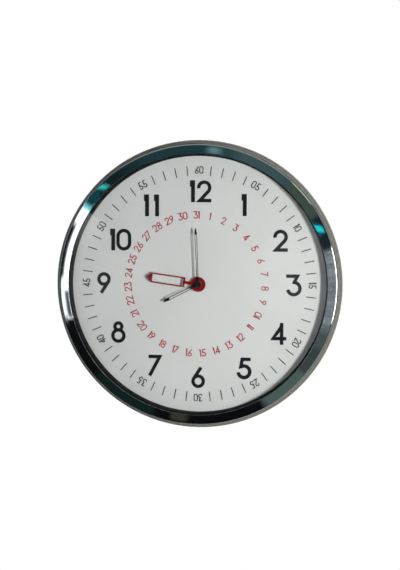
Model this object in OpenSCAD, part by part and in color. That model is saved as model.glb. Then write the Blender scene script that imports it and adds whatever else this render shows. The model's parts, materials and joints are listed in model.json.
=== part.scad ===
// Round wall clock with a calendar hand: chromed bezel, flat glass, printed dial, three hands, quartz movement.
// Everything is drawn in a dial frame, x to the right, y up and z out of the wall, and hung() turns it upright.

/* [Case] */
// Outer radius of the rear case, which is the radius of the whole clock
case_r = 150; // [145:0.5:156]
// How far the rim on the wall stands in from the side of the case
foot_in = 2.2; // [1.4:0.1:2.6]
// Wall thickness of the rear case
case_wall = 2.2; // [1.8:0.1:2.6]
// Height of the dial's face above the wall
dial_z = 27; // [26.5:0.25:34]
// Gap between the wall and the back panel of the case
panel_gap = 3; // [2.5:0.25:4]
// Thickness of the back panel
panel_t = 2; // [1.6:0.1:2.4]
// Width of the satin lip around the bezel
lip_w = 4.5; // [3.9:0.1:5.1]
// Height of the case's front lip above the dial
lip_h = 8; // [7:0.25:8.5]
// Width of the step line on the satin lip
lip_step = 0.6; // [0.4:0.1:0.9]
// Number of case screws
screw_count = 6; // [4:1:8]
// Radius of a case screw's shank
screw_r = 1.45; // [1.25:0.05:1.7]
// Radius of a case screw's head
screw_head_r = 2.8; // [2.4:0.1:3]

/* [Bezel and glass] */
// Width of the chromed bezel
bezel_w = 9.8; // [9.5:0.1:10.6]
// Height of the bezel's inner edge above the dial
bezel_h = 14; // [13.75:0.25:15.5]
// Slope of the bezel's face, down from its inner edge
face_tilt = 6; // [3:0.5:9]
// Radius of the bezel's outer shoulder
shoulder_r = 2.6; // [2:0.1:3]
// Thickness of the bezel's shell
bezel_t = 1.8; // [1.4:0.1:2]
// Height of the glass above the dial
glass_z = 10; // [9.75:0.25:10.5]
// Thickness of the glass
glass_t = 2; // [1.8:0.1:2.2]
// How far the black spacer ring stands in from the bezel, at the dial
spacer_in = 1.5; // [1:0.1:2.2]
// How far the spacer ring opens towards the glass
spacer_flare = 1.2; // [0.6:0.1:1.4]
// Clearance between rings that fit into each other
ring_gap = 0.3; // [0.2:0.05:0.4]

/* [Dial] */
// How far the dial plate reaches under the bezel
dial_under = 1.3; // [1:0.1:1.6]
// Thickness of the dial plate
dial_t = 1.2; // [1:0.1:1.6]
// Thickness of the printed layer
ink_t = 0.15; // [0.1:0.05:0.3]
// Distance from the spacer ring to the minute ticks
tick_margin = 10.8; // [8:0.2:13]
// Length of a minute tick
tick_len = 10.3; // [8:0.1:12]
// Width of a minute tick
tick_w = 0.95; // [0.7:0.05:1.3]
// Distance from the outer ends of the ticks to the circle of minute numerals
minute_num_in = 4.4; // [2.5:0.1:6]
// Height of a minute numeral
minute_num_h = 8; // [7:0.25:9]
// Width of a minute numeral
minute_num_w = 4.4; // [4:0.1:5]
// Stroke of a minute numeral
minute_num_t = 1; // [0.8:0.05:1.2]
// Distance from the circle of minute numerals to the circle of hour numerals
hour_num_in = 21.4; // [19:0.2:24]
// Height of an hour numeral
hour_num_h = 22.8; // [20:0.2:24]
// Width of an hour numeral
hour_num_w = 15.9; // [14.5:0.1:16.5]
// Stroke of an hour numeral
hour_num_t = 3.6; // [3:0.1:4]
// Distance from the circle of hour numerals to the circle of date numerals
date_num_in = 25.4; // [22:0.2:29]
// Height of a date numeral
date_num_h = 7.9; // [7:0.1:9]
// Width of a date numeral
date_num_w = 4.8; // [4.5:0.1:5.2]
// Stroke of a date numeral
date_num_t = 1; // [0.8:0.05:1.2]
// Sideways shift of the printed date circle, to the left
date_print_shift = 2.5; // [0:0.25:4]

/* [Hands] */
// Thickness of a hand's sheet
hand_t = 0.4; // [0.3:0.05:0.5]
// Distance from one hand to the next
hand_pitch = 1.3; // [1.1:0.05:1.8]
// Length of the minute hand
minute_hand_len = 58.5; // [50:0.5:64]
// Width of the minute hand at the foot of its tip
minute_hand_w = 2.5; // [2.2:0.1:3]
// Length of the minute hand's solid tip
minute_tip_len = 6.6; // [5:0.1:8]
// Width of the minute hand's blunt end
minute_tip_w = 1.1; // [0.8:0.1:1.6]
// Length of the hour hand
hour_hand_len = 40.6; // [36:0.2:48]
// Width of the hour hand at the foot of its tip
hour_hand_w = 3.3; // [2.8:0.1:4]
// Length of the hour hand's solid tip
hour_tip_len = 6.8; // [5:0.1:8]
// Width of the hour hand's blunt end
hour_tip_w = 1.9; // [1.4:0.1:2.4]
// Width of the rails of the two skeleton hands
rail_w = 0.6; // [0.5:0.05:0.75]
// Length of the date hand
date_hand_len = 55; // [50:0.5:60]
// Outer width of the date hand's frame
date_frame_w = 10.4; // [9:0.1:12]
// Distance from the centre to the date hand's frame
date_frame_start = 14.1; // [13:0.1:16]
// Width of the rails of the date hand's frame
date_rail_w = 1.3; // [1.1:0.05:1.6]
// Width of the bar across the frame's inner end
date_bar_w = 2.1; // [1.6:0.1:2.6]
// Length of the date hand's pointed tip
date_tip_len = 5.4; // [4:0.1:7]
// Width of the date hand's neck
date_neck_w = 3.1; // [2.5:0.1:4]
// Radius of the date hand's hub disc
date_hub_r = 7.8; // [7.5:0.1:8.4]
// Minute hand's rest angle, clockwise from twelve
minute_angle = -2.6; // [-3.4:0.1:-2]
// Hour hand's rest angle, clockwise from twelve
hour_angle = 243.2; // [242:0.1:244]
// Date hand's rest angle, clockwise from twelve
date_angle = 277.9; // [277:0.1:279]
// Radius of the black nut over the hands
hand_nut_r = 3; // [2.8:0.05:3.2]
// Height of the black nut over the hands
hand_nut_h = 1.8; // [1.4:0.1:2]

/* [Movement] */
// Distance from the hands' axis to the top of the movement's case
move_up = 28; // [27.8:0.1:29]
// Distance from the hands' axis to the bottom of the movement's case
move_down = 30; // [29.8:0.1:31]
// Depth of the movement's case
move_depth = 16; // [15.8:0.1:16.2]
// Wall thickness of the movement's case
move_wall = 1.5; // [1.3:0.05:1.7]
// Radius of the corners of the movement's case
move_corner_r = 3; // [1:0.25:4]
// Thickness of the movement's rear cover
cover_t = 1.2; // [1:0.05:1.3]
// Outer radius of the mounting bush
bush_r = 5; // [4.8:0.05:5.2]
// Thickness of the rubber gasket between the movement and the dial
gasket_t = 1.3; // [1:0.1:1.6]
// Radius of the rubber gasket
gasket_r = 14; // [10:0.5:20]
// Width across the flats of the mounting nut
nut_flats = 12.4; // [11.5:0.1:12.8]
// Height of the mounting nut
nut_h = 2.2; // [2:0.1:2.6]
// Thickness of the washer under the mounting nut
washer_t = 0.6; // [0.4:0.1:0.8]
// Radius of the washer under the mounting nut
washer_r = 7.2; // [6.8:0.1:7.6]
// Radial clearance of each tube and shaft in its bore
run_gap = 0.05; // [0.02:0.01:0.09]
// Outer radius of the date wheel's tube
date_tube_r = 4; // [3.9:0.02:4.1]
// Outer radius of the hour wheel's tube
hour_tube_r = 3; // [2.9:0.02:3.1]
// Radius of the minute arbor
minute_arbor_r = 2; // [1.9:0.02:2.1]
// Radius of the minute arbor's threaded front end
arbor_end_r = 1.1; // [1:0.05:1.2]
// Radius of a setting knob
knob_r = 4.6; // [4:0.1:5]
// Height of a setting knob behind the cover
knob_h = 2.8; // [2:0.1:3]

/* [Battery] */
// Diameter of the AA cell
cell_d = 14.2; // [13.9:0.1:14.4]
// Length of the AA cell with its terminal
cell_l = 50.4; // [49.8:0.1:50.6]
// Gap between the cell and each contact
contact_gap = 0.3; // [0.2:0.05:0.4]
// Thickness of a contact strip
contact_t = 0.4; // [0.3:0.05:0.5]
// Room between a contact strip and the wall behind it
contact_back = 0.6; // [0.4:0.05:0.9]

/* [Hanger] */
// Distance from the clock's centre up to the wall screw
hang_drop = 112; // [104:1:120]
// Radius of the keyhole's round entry
key_r = 4.6; // [4.2:0.1:5]
// Width of the keyhole's slot
key_slot_w = 4.4; // [3.8:0.1:4.8]
// How far the clock drops onto the screw
key_drop = 9; // [8:0.5:12]

/* [Hidden] */
$fn = 96;

// Rings of the case and the dial, from the outside in
foot_r = case_r - foot_in;
bezel_out_r = case_r - lip_w;
bezel_in_r = bezel_out_r - bezel_w;
dial_r = bezel_in_r + dial_under;
glass_r = dial_r + 1;
spacer_r = bezel_in_r - spacer_in;
tick_out_r = spacer_r - tick_margin;
minute_num_r = tick_out_r - minute_num_in;
hour_num_r = minute_num_r - hour_num_in;
date_num_r = hour_num_r - date_num_in;

// Depths of the case, measured from the wall
panel_top = panel_gap + panel_t;
panel_mid = panel_gap + panel_t / 2;
dial_back = dial_z - dial_t;
lip_z = dial_z + lip_h;
flange_z = dial_z + 2;
crown_z = dial_z + bezel_h;
glass_low = dial_z + glass_z;
glass_top = glass_low + glass_t;
well_top = dial_z - 8;

// Case screws, the bosses that they hold and the wells that hide their heads
screw_first = 30;
screw_bite = 9;
screw_head_h = 2;
slot_w = 0.7;
boss_r = screw_r + 1.2;
boss_ring_r = (glass_r + ring_gap + bezel_t + bezel_out_r) / 2;
boss_top = lip_z + 2;
well_r = screw_head_r + 0.3;
well_wall = 1.4;
well_floor = 2;

// How far a cutter reaches past the face that it cuts, and the room around the movement in the back panel
past = 1;
window_gap = 3.5;

// Movement: its width takes the cell with its two contacts
move_w = cell_l + 2 * (contact_gap + contact_t + contact_back + move_wall);
move_in = move_w / 2 - move_wall;
move_front = dial_back - gasket_t;
move_back = move_front - move_depth;
move_floor = move_front - move_wall;
cover_top = move_back + cover_t;
bay_top = -(move_down - move_wall) + cell_d + 0.9;
bay_wall = 0.8;
bay_mid = -(move_down - move_wall) + (cell_d + 0.9) / 2;
cell_z = move_floor - 0.3 - cell_d / 2;

// Heights of the hands' fittings
nut_z = dial_z + washer_t;
bush_top = nut_z + nut_h + 0.2;
date_hand_z = bush_top + 0.6;
hour_hand_z = date_hand_z + hand_pitch;
minute_hand_z = hour_hand_z + hand_pitch;
hand_nut_z = minute_hand_z + hand_t;
hand_nut_top = hand_nut_z + hand_nut_h;
step_in = 0.4;
collar = 0.3;

// Gears: the motion work and the calendar, in module 0.4, and the running train, in module 0.28
work_mod = 0.4;
train_mod = 0.28;
date_mod = 0.65;
gear_t = 0.9;
pinion_t = 1.5;
cannon_n = 15;
motion_n = 45;
motion_pinion_n = 12;
hour_n = 48;
hour_pinion_n = 20;
day_n = 40;
knob_n = 15;
date_n = 31;
date_pinion_n = 10;
train_pinion_n = 10;
centre_n = 80;
third_n = 75;
second_n = 60;
step_n = 50;

// Levels of the wheels, counted back from the front wall of the movement
date_level = move_floor - 1.4;
day_level = date_level - 1.1;
hour_level = day_level - 1.2;
motion_level = hour_level - 2.1;
centre_level = motion_level - 1.7;
plate_top = centre_level - 0.4;
plate_t = 0.7;
third_level = plate_top - plate_t - 1.2;
second_level = third_level - 1.5;
step_level = second_level - 1.3;
pivot_r = 0.5;
post_r = 1;
shaft_r = 1.2;

// Directions from one axis to the next, counter-clockwise from x
motion_dir = -10;
time_knob_dir = 45;
day_dir = 110;
date_knob_dir = 212;
third_dir = 150;
second_dir = 60;
step_dir = 0;
rotor_dir = -20;

// How far each hour numeral, from one to twelve, stands off its place on the circle, to please the eye
hour_shift = [
    [-1.4, -1.7], [0.5, -2.6], [2, 0], [-1.4, -1.7], [-0.6, -2.9], [0, 0],
    [3.4, -1.7], [-0.4, -2.7], [-2.8, 0], [1.9, -3.1], [-1.2, -2.7], [1.7, -0.8]
];

// Places of the axes
function polar(r, a) = [r * cos(a), r * sin(a)];
function centres(m, n1, n2) = m * (n1 + n2) / 2;
motion_p = polar(centres(work_mod, cannon_n, motion_n), motion_dir);
time_knob_p = motion_p + polar(centres(work_mod, motion_n, knob_n), time_knob_dir);
day_p = polar(centres(work_mod, hour_pinion_n, day_n), day_dir);
date_knob_p = polar(centres(date_mod, date_n, date_pinion_n), date_knob_dir);
third_p = polar(centres(train_mod, centre_n, train_pinion_n), third_dir);
second_p = third_p + polar(centres(train_mod, third_n, train_pinion_n), second_dir);
step_p = second_p + polar(centres(train_mod, second_n, train_pinion_n), step_dir);
rotor_p = step_p + polar(centres(train_mod, step_n, train_pinion_n), rotor_dir);

// Turn of a gear whose teeth mesh with those of a gear that stands in direction d back from it
function meshed(d, turn_a, teeth_a, teeth_b) = d + 180 + (d - turn_a) * teeth_a / teeth_b + 180 / teeth_b;

// Turns of the gears, so that all teeth stand in mesh at rest
cannon_turn = 0;
motion_turn = meshed(motion_dir, cannon_turn, cannon_n, motion_n);
knob_turn = meshed(time_knob_dir, motion_turn, motion_n, knob_n);
motion_pinion_turn = 0;
hour_turn = meshed(motion_dir + 180, motion_pinion_turn, motion_pinion_n, hour_n);
hour_pinion_turn = 0;
day_turn = meshed(day_dir, hour_pinion_turn, hour_pinion_n, day_n);
date_turn = 0;
date_pinion_turn = meshed(date_knob_dir, date_turn, date_n, date_pinion_n);
centre_turn = 0;
third_pinion_turn = meshed(third_dir, centre_turn, centre_n, train_pinion_n);
third_turn = 0;
second_pinion_turn = meshed(second_dir, third_turn, third_n, train_pinion_n);
second_turn = 0;
step_pinion_turn = meshed(step_dir, second_turn, second_n, train_pinion_n);
step_turn = 0;
rotor_turn = meshed(rotor_dir, step_turn, step_n, train_pinion_n);

// Posts between the train plate and the front wall
pillar_r = 1.6;
pillar_x = move_in - 2.5;
pillar_low = bay_top + bay_wall + 2.1;
pillar_high = move_up - 4;
pillars = [[-pillar_x, pillar_low], [pillar_x, pillar_low], [-pillar_x, pillar_high], [13, pillar_high]];

// Coil, core and stator of the stepping motor, and the two posts that carry them
coil_high = move_up - move_wall - 1.3;
coil_low = coil_high - 14;
coil_r = 3;
coil_bore_r = 1.7;
coil_flange_r = 3.5;
coil_flange_t = 0.7;
coil_x = move_in - coil_flange_r - 0.8;
coil_z = cover_top + 0.4 + coil_flange_r;
core_half = 1;
core_gap = 0.15;
core_drop = 0.5;
stator_z = coil_z - core_drop;
stator_t = 0.8;
stator_bore_r = 3;
stator_ring_r = 4.6;
stator_end = 3;
stator_posts = [[coil_x, coil_low - 0.2 - stator_end / 2, 1.1], [rotor_p[0] + 1.9, rotor_p[1] - 3.3, 0.7]];

// Circuit board
board_x = -move_in + 0.5;
board_w = 11;
board_high = move_up - 3;
board_low = board_high - 17;
board_t = 0.8;
part_x = board_x + 5;

// Stands the clock upright, with the wall screw at the origin
module hung() {
    translate([0, 0, -hang_drop]) rotate([90, 0, 0]) children();
}

// A round plate or tube between two heights
module disc(z0, z1, r, bore = 0) {
    translate([0, 0, z0]) linear_extrude(z1 - z0) difference() {
        circle(r);
        if (bore > 0) circle(bore);
    }
}

module at(p) {
    translate([p[0], p[1], 0]) children();
}

// Outline of a gear with short, thin teeth
module gear_outline(teeth, m, turn = 0) {
    pitch_r = m * teeth / 2;
    tip_r = pitch_r + 0.7 * m;
    root_r = pitch_r - 1.1 * m;
    step = 360 / teeth;
    half = [0.27, 0.1];
    radii = [root_r, tip_r, tip_r, root_r];
    turns = [-half[0], -half[1], half[1], half[0]];
    polygon([for (i = [0 : teeth - 1], k = [0 : 3]) polar(radii[k], turn + (i + turns[k]) * step)]);
}

module gear(z0, t, teeth, m, turn = 0, bore = 0) {
    translate([0, 0, z0]) linear_extrude(t) difference() {
        gear_outline(teeth, m, turn);
        if (bore > 0) circle(bore);
    }
}

// A wheel with four round windows between its hub and its rim
module spoked_gear(z0, t, teeth, m, turn = 0, bore = 0) {
    window_r = m * teeth * 0.11;
    window_ring_r = m * teeth * 0.27;
    translate([0, 0, z0]) linear_extrude(t) difference() {
        gear_outline(teeth, m, turn);
        if (bore > 0) circle(bore);
        for (a = [45 : 90 : 315]) rotate(a) translate([window_ring_r, 0]) circle(window_r);
    }
}

// Digits are drawn on a baseline at y = 0, centred on x = 0, with height h, width w and stroke t
module stadium(w, h) {
    translate([0, w / 2]) circle(w / 2);
    translate([0, h - w / 2]) circle(w / 2);
    translate([-w / 2, w / 2]) square([w, h - w]);
}

module ring(r, t) {
    difference() {
        circle(r);
        circle(r - t);
    }
}

// The part of a ring between two angles, less than 180 degrees of which are left out
module open_ring(r, t, cut_from, cut_to) {
    far = 2 * r;
    mid = (cut_from + cut_to) / 2;
    difference() {
        ring(r, t);
        polygon([[0, 0], polar(far, cut_from), polar(far, mid), polar(far, cut_to)]);
    }
}

module digit_0(h, w, t) {
    difference() {
        stadium(w, h);
        translate([0, t]) stadium(w - 2 * t, h - 2 * t);
    }
}

module digit_1(h, w, t) {
    stem = t * 1.15;
    flag = t * 0.35;
    flag_h = h * 0.3;
    translate([(flag - stem) / 2, 0]) square([stem, h]);
    translate([-(flag + stem) / 2, h - flag_h]) square([flag + stem / 2, flag_h]);
}

module digit_2(h, w, t) {
    r = w * 0.475;
    ri = r - t;
    cx = w * 0.03;
    cy = h - r;
    foot = [-w * 0.52, 0];
    reach = norm([cx, cy] - foot);
    slope = atan2(cy, cx - foot[0]) - asin(ri / reach);
    side = [sin(slope), -cos(slope)];
    translate([cx, cy]) open_ring(r, t, 188, 266 + slope);
    intersection() {
        polygon([foot + t * side, [cx, cy] + r * side, [cx, cy] + ri * side, foot]);
        translate([-w, 0]) square([2 * w, h]);
    }
    polygon([foot, [w * 0.505, 0], [w * 0.505, t], foot + [t, t]]);
}

module digit_3(h, w, t) {
    r = w * 0.515;
    cy = r;
    knee = [-w * 0.13, cy + r - t * 0.85];
    translate([0, cy]) open_ring(r, t, 98, 192);
    polygon([
        [-w / 2, h - t], [w * 0.06, h - t], knee, [0, cy + r - t * 0.95], [w * 0.19, cy + r - t * 0.1],
        [w * 0.42, h], [-w / 2, h]
    ]);
}

module digit_4(h, w, t) {
    stem_x = w * 0.15;
    bar_y = h * 0.2;
    difference() {
        union() {
            translate([stem_x, 0]) square([t, h]);
            polygon([[-w / 2, bar_y], [stem_x + t, bar_y], [stem_x + t, h], [stem_x + t * 0.6, h]]);
            translate([-w / 2 + t, bar_y]) square([w - t * 0.7, t]);
        }
        polygon([[-w / 2 + t * 1.75, bar_y + t], [stem_x, bar_y + t], [stem_x, h * 0.57]]);
    }
}

module digit_5(h, w, t) {
    r = w * 0.5;
    cy = r;
    lean = w * 0.13;
    translate([0, cy]) open_ring(r, t * 1.05, 130, 186);
    polygon([
        [-w * 0.22 - lean, cy + r * 0.34], [-w * 0.1, cy + r - t * 1.1], [-w * 0.07, cy + r - t * 0.15],
        [-w * 0.02, h - t], [w * 0.44, h - t], [w * 0.44, h], [-w * 0.22, h]
    ]);
}

module digit_6(h, w, t) {
    r = w * 0.455;
    tilt = 57;
    side = polar(1, tilt + 90);
    along = polar(1, tilt);
    top = (h - r - r * side[1]) / along[1];
    translate([0, r]) ring(r, t);
    difference() {
        translate([0, r])
            polygon([(r - t) * side, (r - t) * side + top * along, r * side + top * along, r * side]);
        translate([0, r]) circle(r - t);
    }
}

module digit_7(h, w, t) {
    run = w * 0.76;
    edge = t / sin(atan2(h, run));
    right = w * 0.48;
    translate([-w * 0.46, h - t]) square([w * 0.7, t]);
    polygon([
        [right - run, 0], [right, h], [right - edge, h], [right - edge - run * 0.935, h * 0.065]
    ]);
}

module digit_8(h, w, t) {
    low_r = w * 0.485;
    high_r = (h + t - 2 * low_r) / 2;
    translate([0, low_r]) ring(low_r, t);
    translate([0, h - high_r]) ring(high_r, t);
}

module digit_9(h, w, t) {
    translate([0, h]) rotate(180) digit_6(h, w, t);
}

module digit(n, h, w, t) {
    if (n == 0) digit_0(h, w, t);
    if (n == 1) digit_1(h, w, t);
    if (n == 2) digit_2(h, w, t);
    if (n == 3) digit_3(h, w, t);
    if (n == 4) digit_4(h, w, t);
    if (n == 5) digit_5(h, w, t);
    if (n == 6) digit_6(h, w, t);
    if (n == 7) digit_7(h, w, t);
    if (n == 8) digit_8(h, w, t);
    if (n == 9) digit_9(h, w, t);
}

// Room that a digit takes on its line
function advance(n, w, t) = n == 1 ? t * 1.5 : n == 7 ? w * 0.9 : w;

// A number of one or two digits about its own middle; padded keeps a nought in front of a single digit
module number(n, h, w, t, gap, padded = false) {
    tens = floor(n / 10);
    ones = n % 10;
    if (tens == 0 && !padded) translate([0, -h / 2]) digit(ones, h, w, t);
    else {
        a = advance(tens, w, t);
        b = advance(ones, w, t);
        whole = a + gap + b;
        translate([-whole / 2 + a / 2, -h / 2]) digit(tens, h, w, t);
        translate([whole / 2 - b / 2, -h / 2]) digit(ones, h, w, t);
    }
}

// Places its children clockwise from twelve
module clockwise(a, r) {
    rotate(-a) translate([0, r]) children();
}

module ink() {
    translate([0, 0, dial_z]) linear_extrude(ink_t) children();
}

module rear_case() {
    seat_r = dial_r + ring_gap + 0.4;
    edge = 1;
    lip_in = bezel_out_r + ring_gap;
    lip_top = lip_z - lip_step;
    step_z = flange_z + 2.4;
    color("#77766f") hung() difference() {
        union() {
            rotate_extrude() polygon([
                [foot_r - case_wall, 0], [foot_r, 0], [case_r - edge, flange_z - 4], [case_r, flange_z - 3],
                [case_r, flange_z], [case_r - edge, step_z], [case_r - edge - lip_step, step_z],
                [lip_in + 1.2, lip_top], [lip_in, lip_top], [lip_in, flange_z - 2],
                [foot_r - case_wall, flange_z - 4]
            ]);
            disc(panel_gap, panel_top, foot_r - case_wall / 2);
            disc(panel_mid, dial_back, seat_r, seat_r - case_wall);
            case_wells();
        }
        translate([-move_w / 2 - window_gap, -move_down - window_gap, panel_gap - past])
            cube([move_w + 2 * window_gap, move_up + move_down + 2 * window_gap, panel_t + 2 * past]);
        keyhole();
        case_well_bores();
    }
}

module at_screws() {
    for (i = [0 : screw_count - 1])
        rotate(screw_first + i * 360 / screw_count) translate([boss_ring_r, 0, 0]) children();
}

// A well for each screw, with a rib that runs inwards
module case_wells() {
    rib_t = 2;
    at_screws() cylinder(r = well_r + well_wall, h = well_top);
    at_screws() translate([-well_r - 4, -rib_t / 2, panel_mid])
        cube([well_r + 3, rib_t, well_top - 1 - panel_mid]);
}

module case_well_bores() {
    at_screws() translate([0, 0, -past]) cylinder(r = well_r, h = well_top - well_floor + past);
    at_screws() cylinder(r = screw_r + 0.25, h = well_top + past);
}

module keyhole() {
    low = hang_drop - key_drop;
    deep = panel_t + 2 * past;
    translate([0, low, panel_gap - past]) cylinder(r = key_r, h = deep);
    translate([-key_slot_w / 2, low, panel_gap - past]) cube([key_slot_w, key_drop, deep]);
    translate([0, hang_drop, panel_gap - past]) cylinder(r = key_slot_w / 2, h = deep);
}

// The bezel is a shell with a sloping face, a round outer shoulder, a straight hem, a skirt around the glass
// and bosses for the case screws
module bezel() {
    hem_z = lip_z - 2;
    skirt_r = glass_r + ring_gap;
    skirt_z = dial_z + 0.5;
    shoulder_x = bezel_out_r - shoulder_r;
    face_out = shoulder_x + shoulder_r * sin(face_tilt);
    face_z = crown_z - (face_out - bezel_in_r) * tan(face_tilt);
    shoulder_z = face_z - shoulder_r * cos(face_tilt);
    hollow_in = skirt_r + bezel_t;
    hollow_out = bezel_out_r - bezel_t;
    hollow_z = face_z - bezel_t;
    color("#c9cdd0") hung() {
        rotate_extrude($fn = 128) {
            difference() {
                union() {
                    polygon([
                        [bezel_in_r, hem_z], [bezel_out_r, hem_z], [bezel_out_r, shoulder_z],
                        [face_out, face_z], [bezel_in_r, crown_z]
                    ]);
                    translate([shoulder_x, shoulder_z]) circle(shoulder_r);
                }
                translate([0, skirt_z]) square([skirt_r, glass_top - skirt_z]);
                translate([hollow_in, skirt_z]) square([hollow_out - hollow_in, hollow_z - skirt_z]);
            }
            translate([skirt_r, skirt_z]) square([bezel_t, glass_top - skirt_z]);
        }
        at_screws() difference() {
            disc(well_top, boss_top, boss_r);
            translate([0, 0, well_top - past]) cylinder(r = screw_r + run_gap, h = screw_bite + 2 * past);
        }
    }
}

module case_screws() {
    head_z = well_top - well_floor - screw_head_h;
    slot_l = 3;
    color("#9a9c9e") hung() at_screws() difference() {
        union() {
            disc(head_z, head_z + screw_head_h, screw_head_r);
            disc(head_z + screw_head_h, well_top + screw_bite, screw_r);
        }
        for (a = [0, 90])
            rotate(a) translate([-slot_w / 2, -slot_l / 2, head_z - past]) cube([slot_w, slot_l, 1 + past]);
    }
}

module glass() {
    color("#dfe8ea", 0.35) hung() disc(glass_low, glass_top, glass_r);
}

module spacer_ring() {
    color("#14171a") hung() rotate_extrude() polygon([
        [spacer_r, dial_z], [glass_r, dial_z], [glass_r, glass_low], [spacer_r + spacer_flare, glass_low]
    ]);
}

module dial_plate() {
    color("#cfd2d3") hung() disc(dial_back, dial_z, dial_r, bush_r + 0.1);
}

module hour_numerals() {
    color("#1c2028") hung() ink() for (n = [1 : 12]) {
        gap = hour_num_t * (n == 11 ? 1.45 : 0.35);
        translate(polar(hour_num_r, 90 - 30 * n) + hour_shift[n - 1])
            number(n, hour_num_h, hour_num_w, hour_num_t, gap);
    }
}

module minute_numerals() {
    color("#1f2329") hung() ink() for (n = [5 : 5 : 60])
        clockwise(6 * n, minute_num_r)
            number(n, minute_num_h, minute_num_w, minute_num_t, minute_num_t * 0.45, true);
}

module minute_ticks() {
    color("#1f2329") hung() ink() for (i = [1 : 59]) if (i % 5 != 0)
        clockwise(6 * i, tick_out_r - tick_len) translate([-tick_w / 2, 0]) square([tick_w, tick_len]);
}

module date_numerals() {
    color("#b8283a") hung() ink() translate([-date_print_shift, 0]) for (n = [1 : 31])
        clockwise(360 / 31 * n, date_num_r) rotate(n > 9 && n < 21 ? 180 : 0)
            number(n, date_num_h, date_num_w, date_num_t, date_num_t * 0.4);
}

// A skeleton hand: two rails that widen from the hub to a solid blunt tip
module skeleton_hand(z0, len, w, root_w, tip_len, tip_w, bore, hub) {
    base = len - tip_len;
    slot_start = hub * 2.6;
    translate([0, 0, z0]) linear_extrude(hand_t) difference() {
        union() {
            polygon([
                [-root_w / 2, 0], [root_w / 2, 0], [w / 2, base], [w / 2, base + tip_len * 0.25],
                [tip_w / 2, len - tip_w * 0.25], [tip_w / 4, len], [-tip_w / 4, len],
                [-tip_w / 2, len - tip_w * 0.25], [-w / 2, base + tip_len * 0.25], [-w / 2, base]
            ]);
            circle(hub);
        }
        circle(bore);
        polygon([
            [-root_w / 2 + rail_w, slot_start], [root_w / 2 - rail_w, slot_start],
            [w / 2 - rail_w, base], [-w / 2 + rail_w, base]
        ]);
    }
}

module minute_hand() {
    color("#0b0c0e") hung() rotate(-minute_angle)
        skeleton_hand(minute_hand_z, minute_hand_len, minute_hand_w, minute_hand_w * 0.7, minute_tip_len,
            minute_tip_w, arbor_end_r + run_gap, hand_nut_r - 0.2);
}

module hour_hand() {
    color("#0b0c0e") hung() rotate(-hour_angle)
        skeleton_hand(hour_hand_z, hour_hand_len, hour_hand_w, hour_hand_w * 0.75, hour_tip_len,
            hour_tip_w, hour_tube_r - step_in + run_gap, hour_tube_r + 0.6);
}

module date_hand() {
    frame_end = date_hand_len - date_tip_len;
    half = date_frame_w / 2;
    point_r = 0.6;
    end_bar = 0.7;
    color("#8e0808") hung() rotate(-date_angle)
        translate([0, 0, date_hand_z]) linear_extrude(hand_t) difference() {
            union() {
                circle(date_hub_r);
                translate([-date_neck_w / 2, 0]) square([date_neck_w, date_frame_start + date_bar_w / 2]);
                translate([-half, date_frame_start]) square([date_frame_w, frame_end - date_frame_start]);
                polygon([
                    [-half, frame_end], [half, frame_end],
                    [point_r, date_hand_len - point_r / 2], [-point_r, date_hand_len - point_r / 2]
                ]);
                translate([0, date_hand_len - point_r]) circle(point_r);
            }
            circle(date_tube_r - step_in + run_gap);
            translate([-half + date_rail_w, date_frame_start + date_bar_w])
                square([date_frame_w - 2 * date_rail_w, frame_end - date_frame_start - date_bar_w - end_bar]);
        }
}

module hand_nut() {
    shoulder = 0.6;
    color("#08090a") hung() {
        disc(hand_nut_z, hand_nut_top - shoulder, hand_nut_r, arbor_end_r + run_gap);
        disc(hand_nut_top - shoulder, hand_nut_top, hand_nut_r - shoulder, arbor_end_r + run_gap);
    }
}

// Outline of the movement with round corners, drawn in by a margin
module move_outline(margin) {
    half = move_w / 2 - margin;
    r = move_corner_r;
    top = move_up - margin;
    low = -move_down + margin;
    translate([-half, low + r]) square([2 * half, top - low - 2 * r]);
    translate([-half + r, low]) square([2 * half - 2 * r, top - low]);
    for (x = [-half + r, half - r], y = [low + r, top - r]) translate([x, y]) circle(r);
}

module movement_case() {
    root = move_front - 0.5;
    inset = 1;
    color("#202326") hung() difference() {
        union() {
            difference() {
                translate([0, 0, cover_top]) linear_extrude(move_front - cover_top) move_outline(0);
                translate([0, 0, cover_top - past]) linear_extrude(move_floor - cover_top + past)
                    move_outline(move_wall);
            }
            translate([-move_w / 2 + inset, bay_top, cover_top])
                cube([move_w - 2 * inset, bay_wall, move_front - cover_top]);
            disc(root, bush_top, bush_r);
            at(motion_p) disc(motion_level - 0.6, root, post_r);
            at(day_p) disc(day_level - 0.5, root, post_r);
            for (p = pillars) at(p) disc(plate_top, root, pillar_r);
        }
        translate([0, 0, move_floor - past])
            cylinder(r = date_tube_r + run_gap, h = bush_top - move_floor + 2 * past);
    }
}

module movement_cover() {
    color("#26292c") hung() {
        translate([0, 0, move_back]) linear_extrude(cover_t) difference() {
            intersection() {
                move_outline(0);
                translate([-move_w, bay_top]) square([2 * move_w, 2 * move_up]);
            }
            for (p = [time_knob_p, date_knob_p]) at(p) circle(shaft_r + run_gap);
            for (p = [third_p, second_p, step_p, rotor_p]) at(p) circle(pivot_r + run_gap);
        }
        for (p = stator_posts) at(p) disc(cover_top - cover_t / 2, stator_z, p[2]);
    }
}

module movement_gasket() {
    color("#17181a") hung() disc(move_front, dial_back, gasket_r, bush_r + 0.1);
}

module mounting_washer() {
    color("#b99f55") hung() disc(dial_z, nut_z, washer_r, bush_r + 0.1);
}

module mounting_nut() {
    color("#c2a65a") hung() translate([0, 0, nut_z]) linear_extrude(nut_h) difference() {
        circle(nut_flats / sqrt(3), $fn = 6);
        circle(bush_r + run_gap);
    }
}

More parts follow.
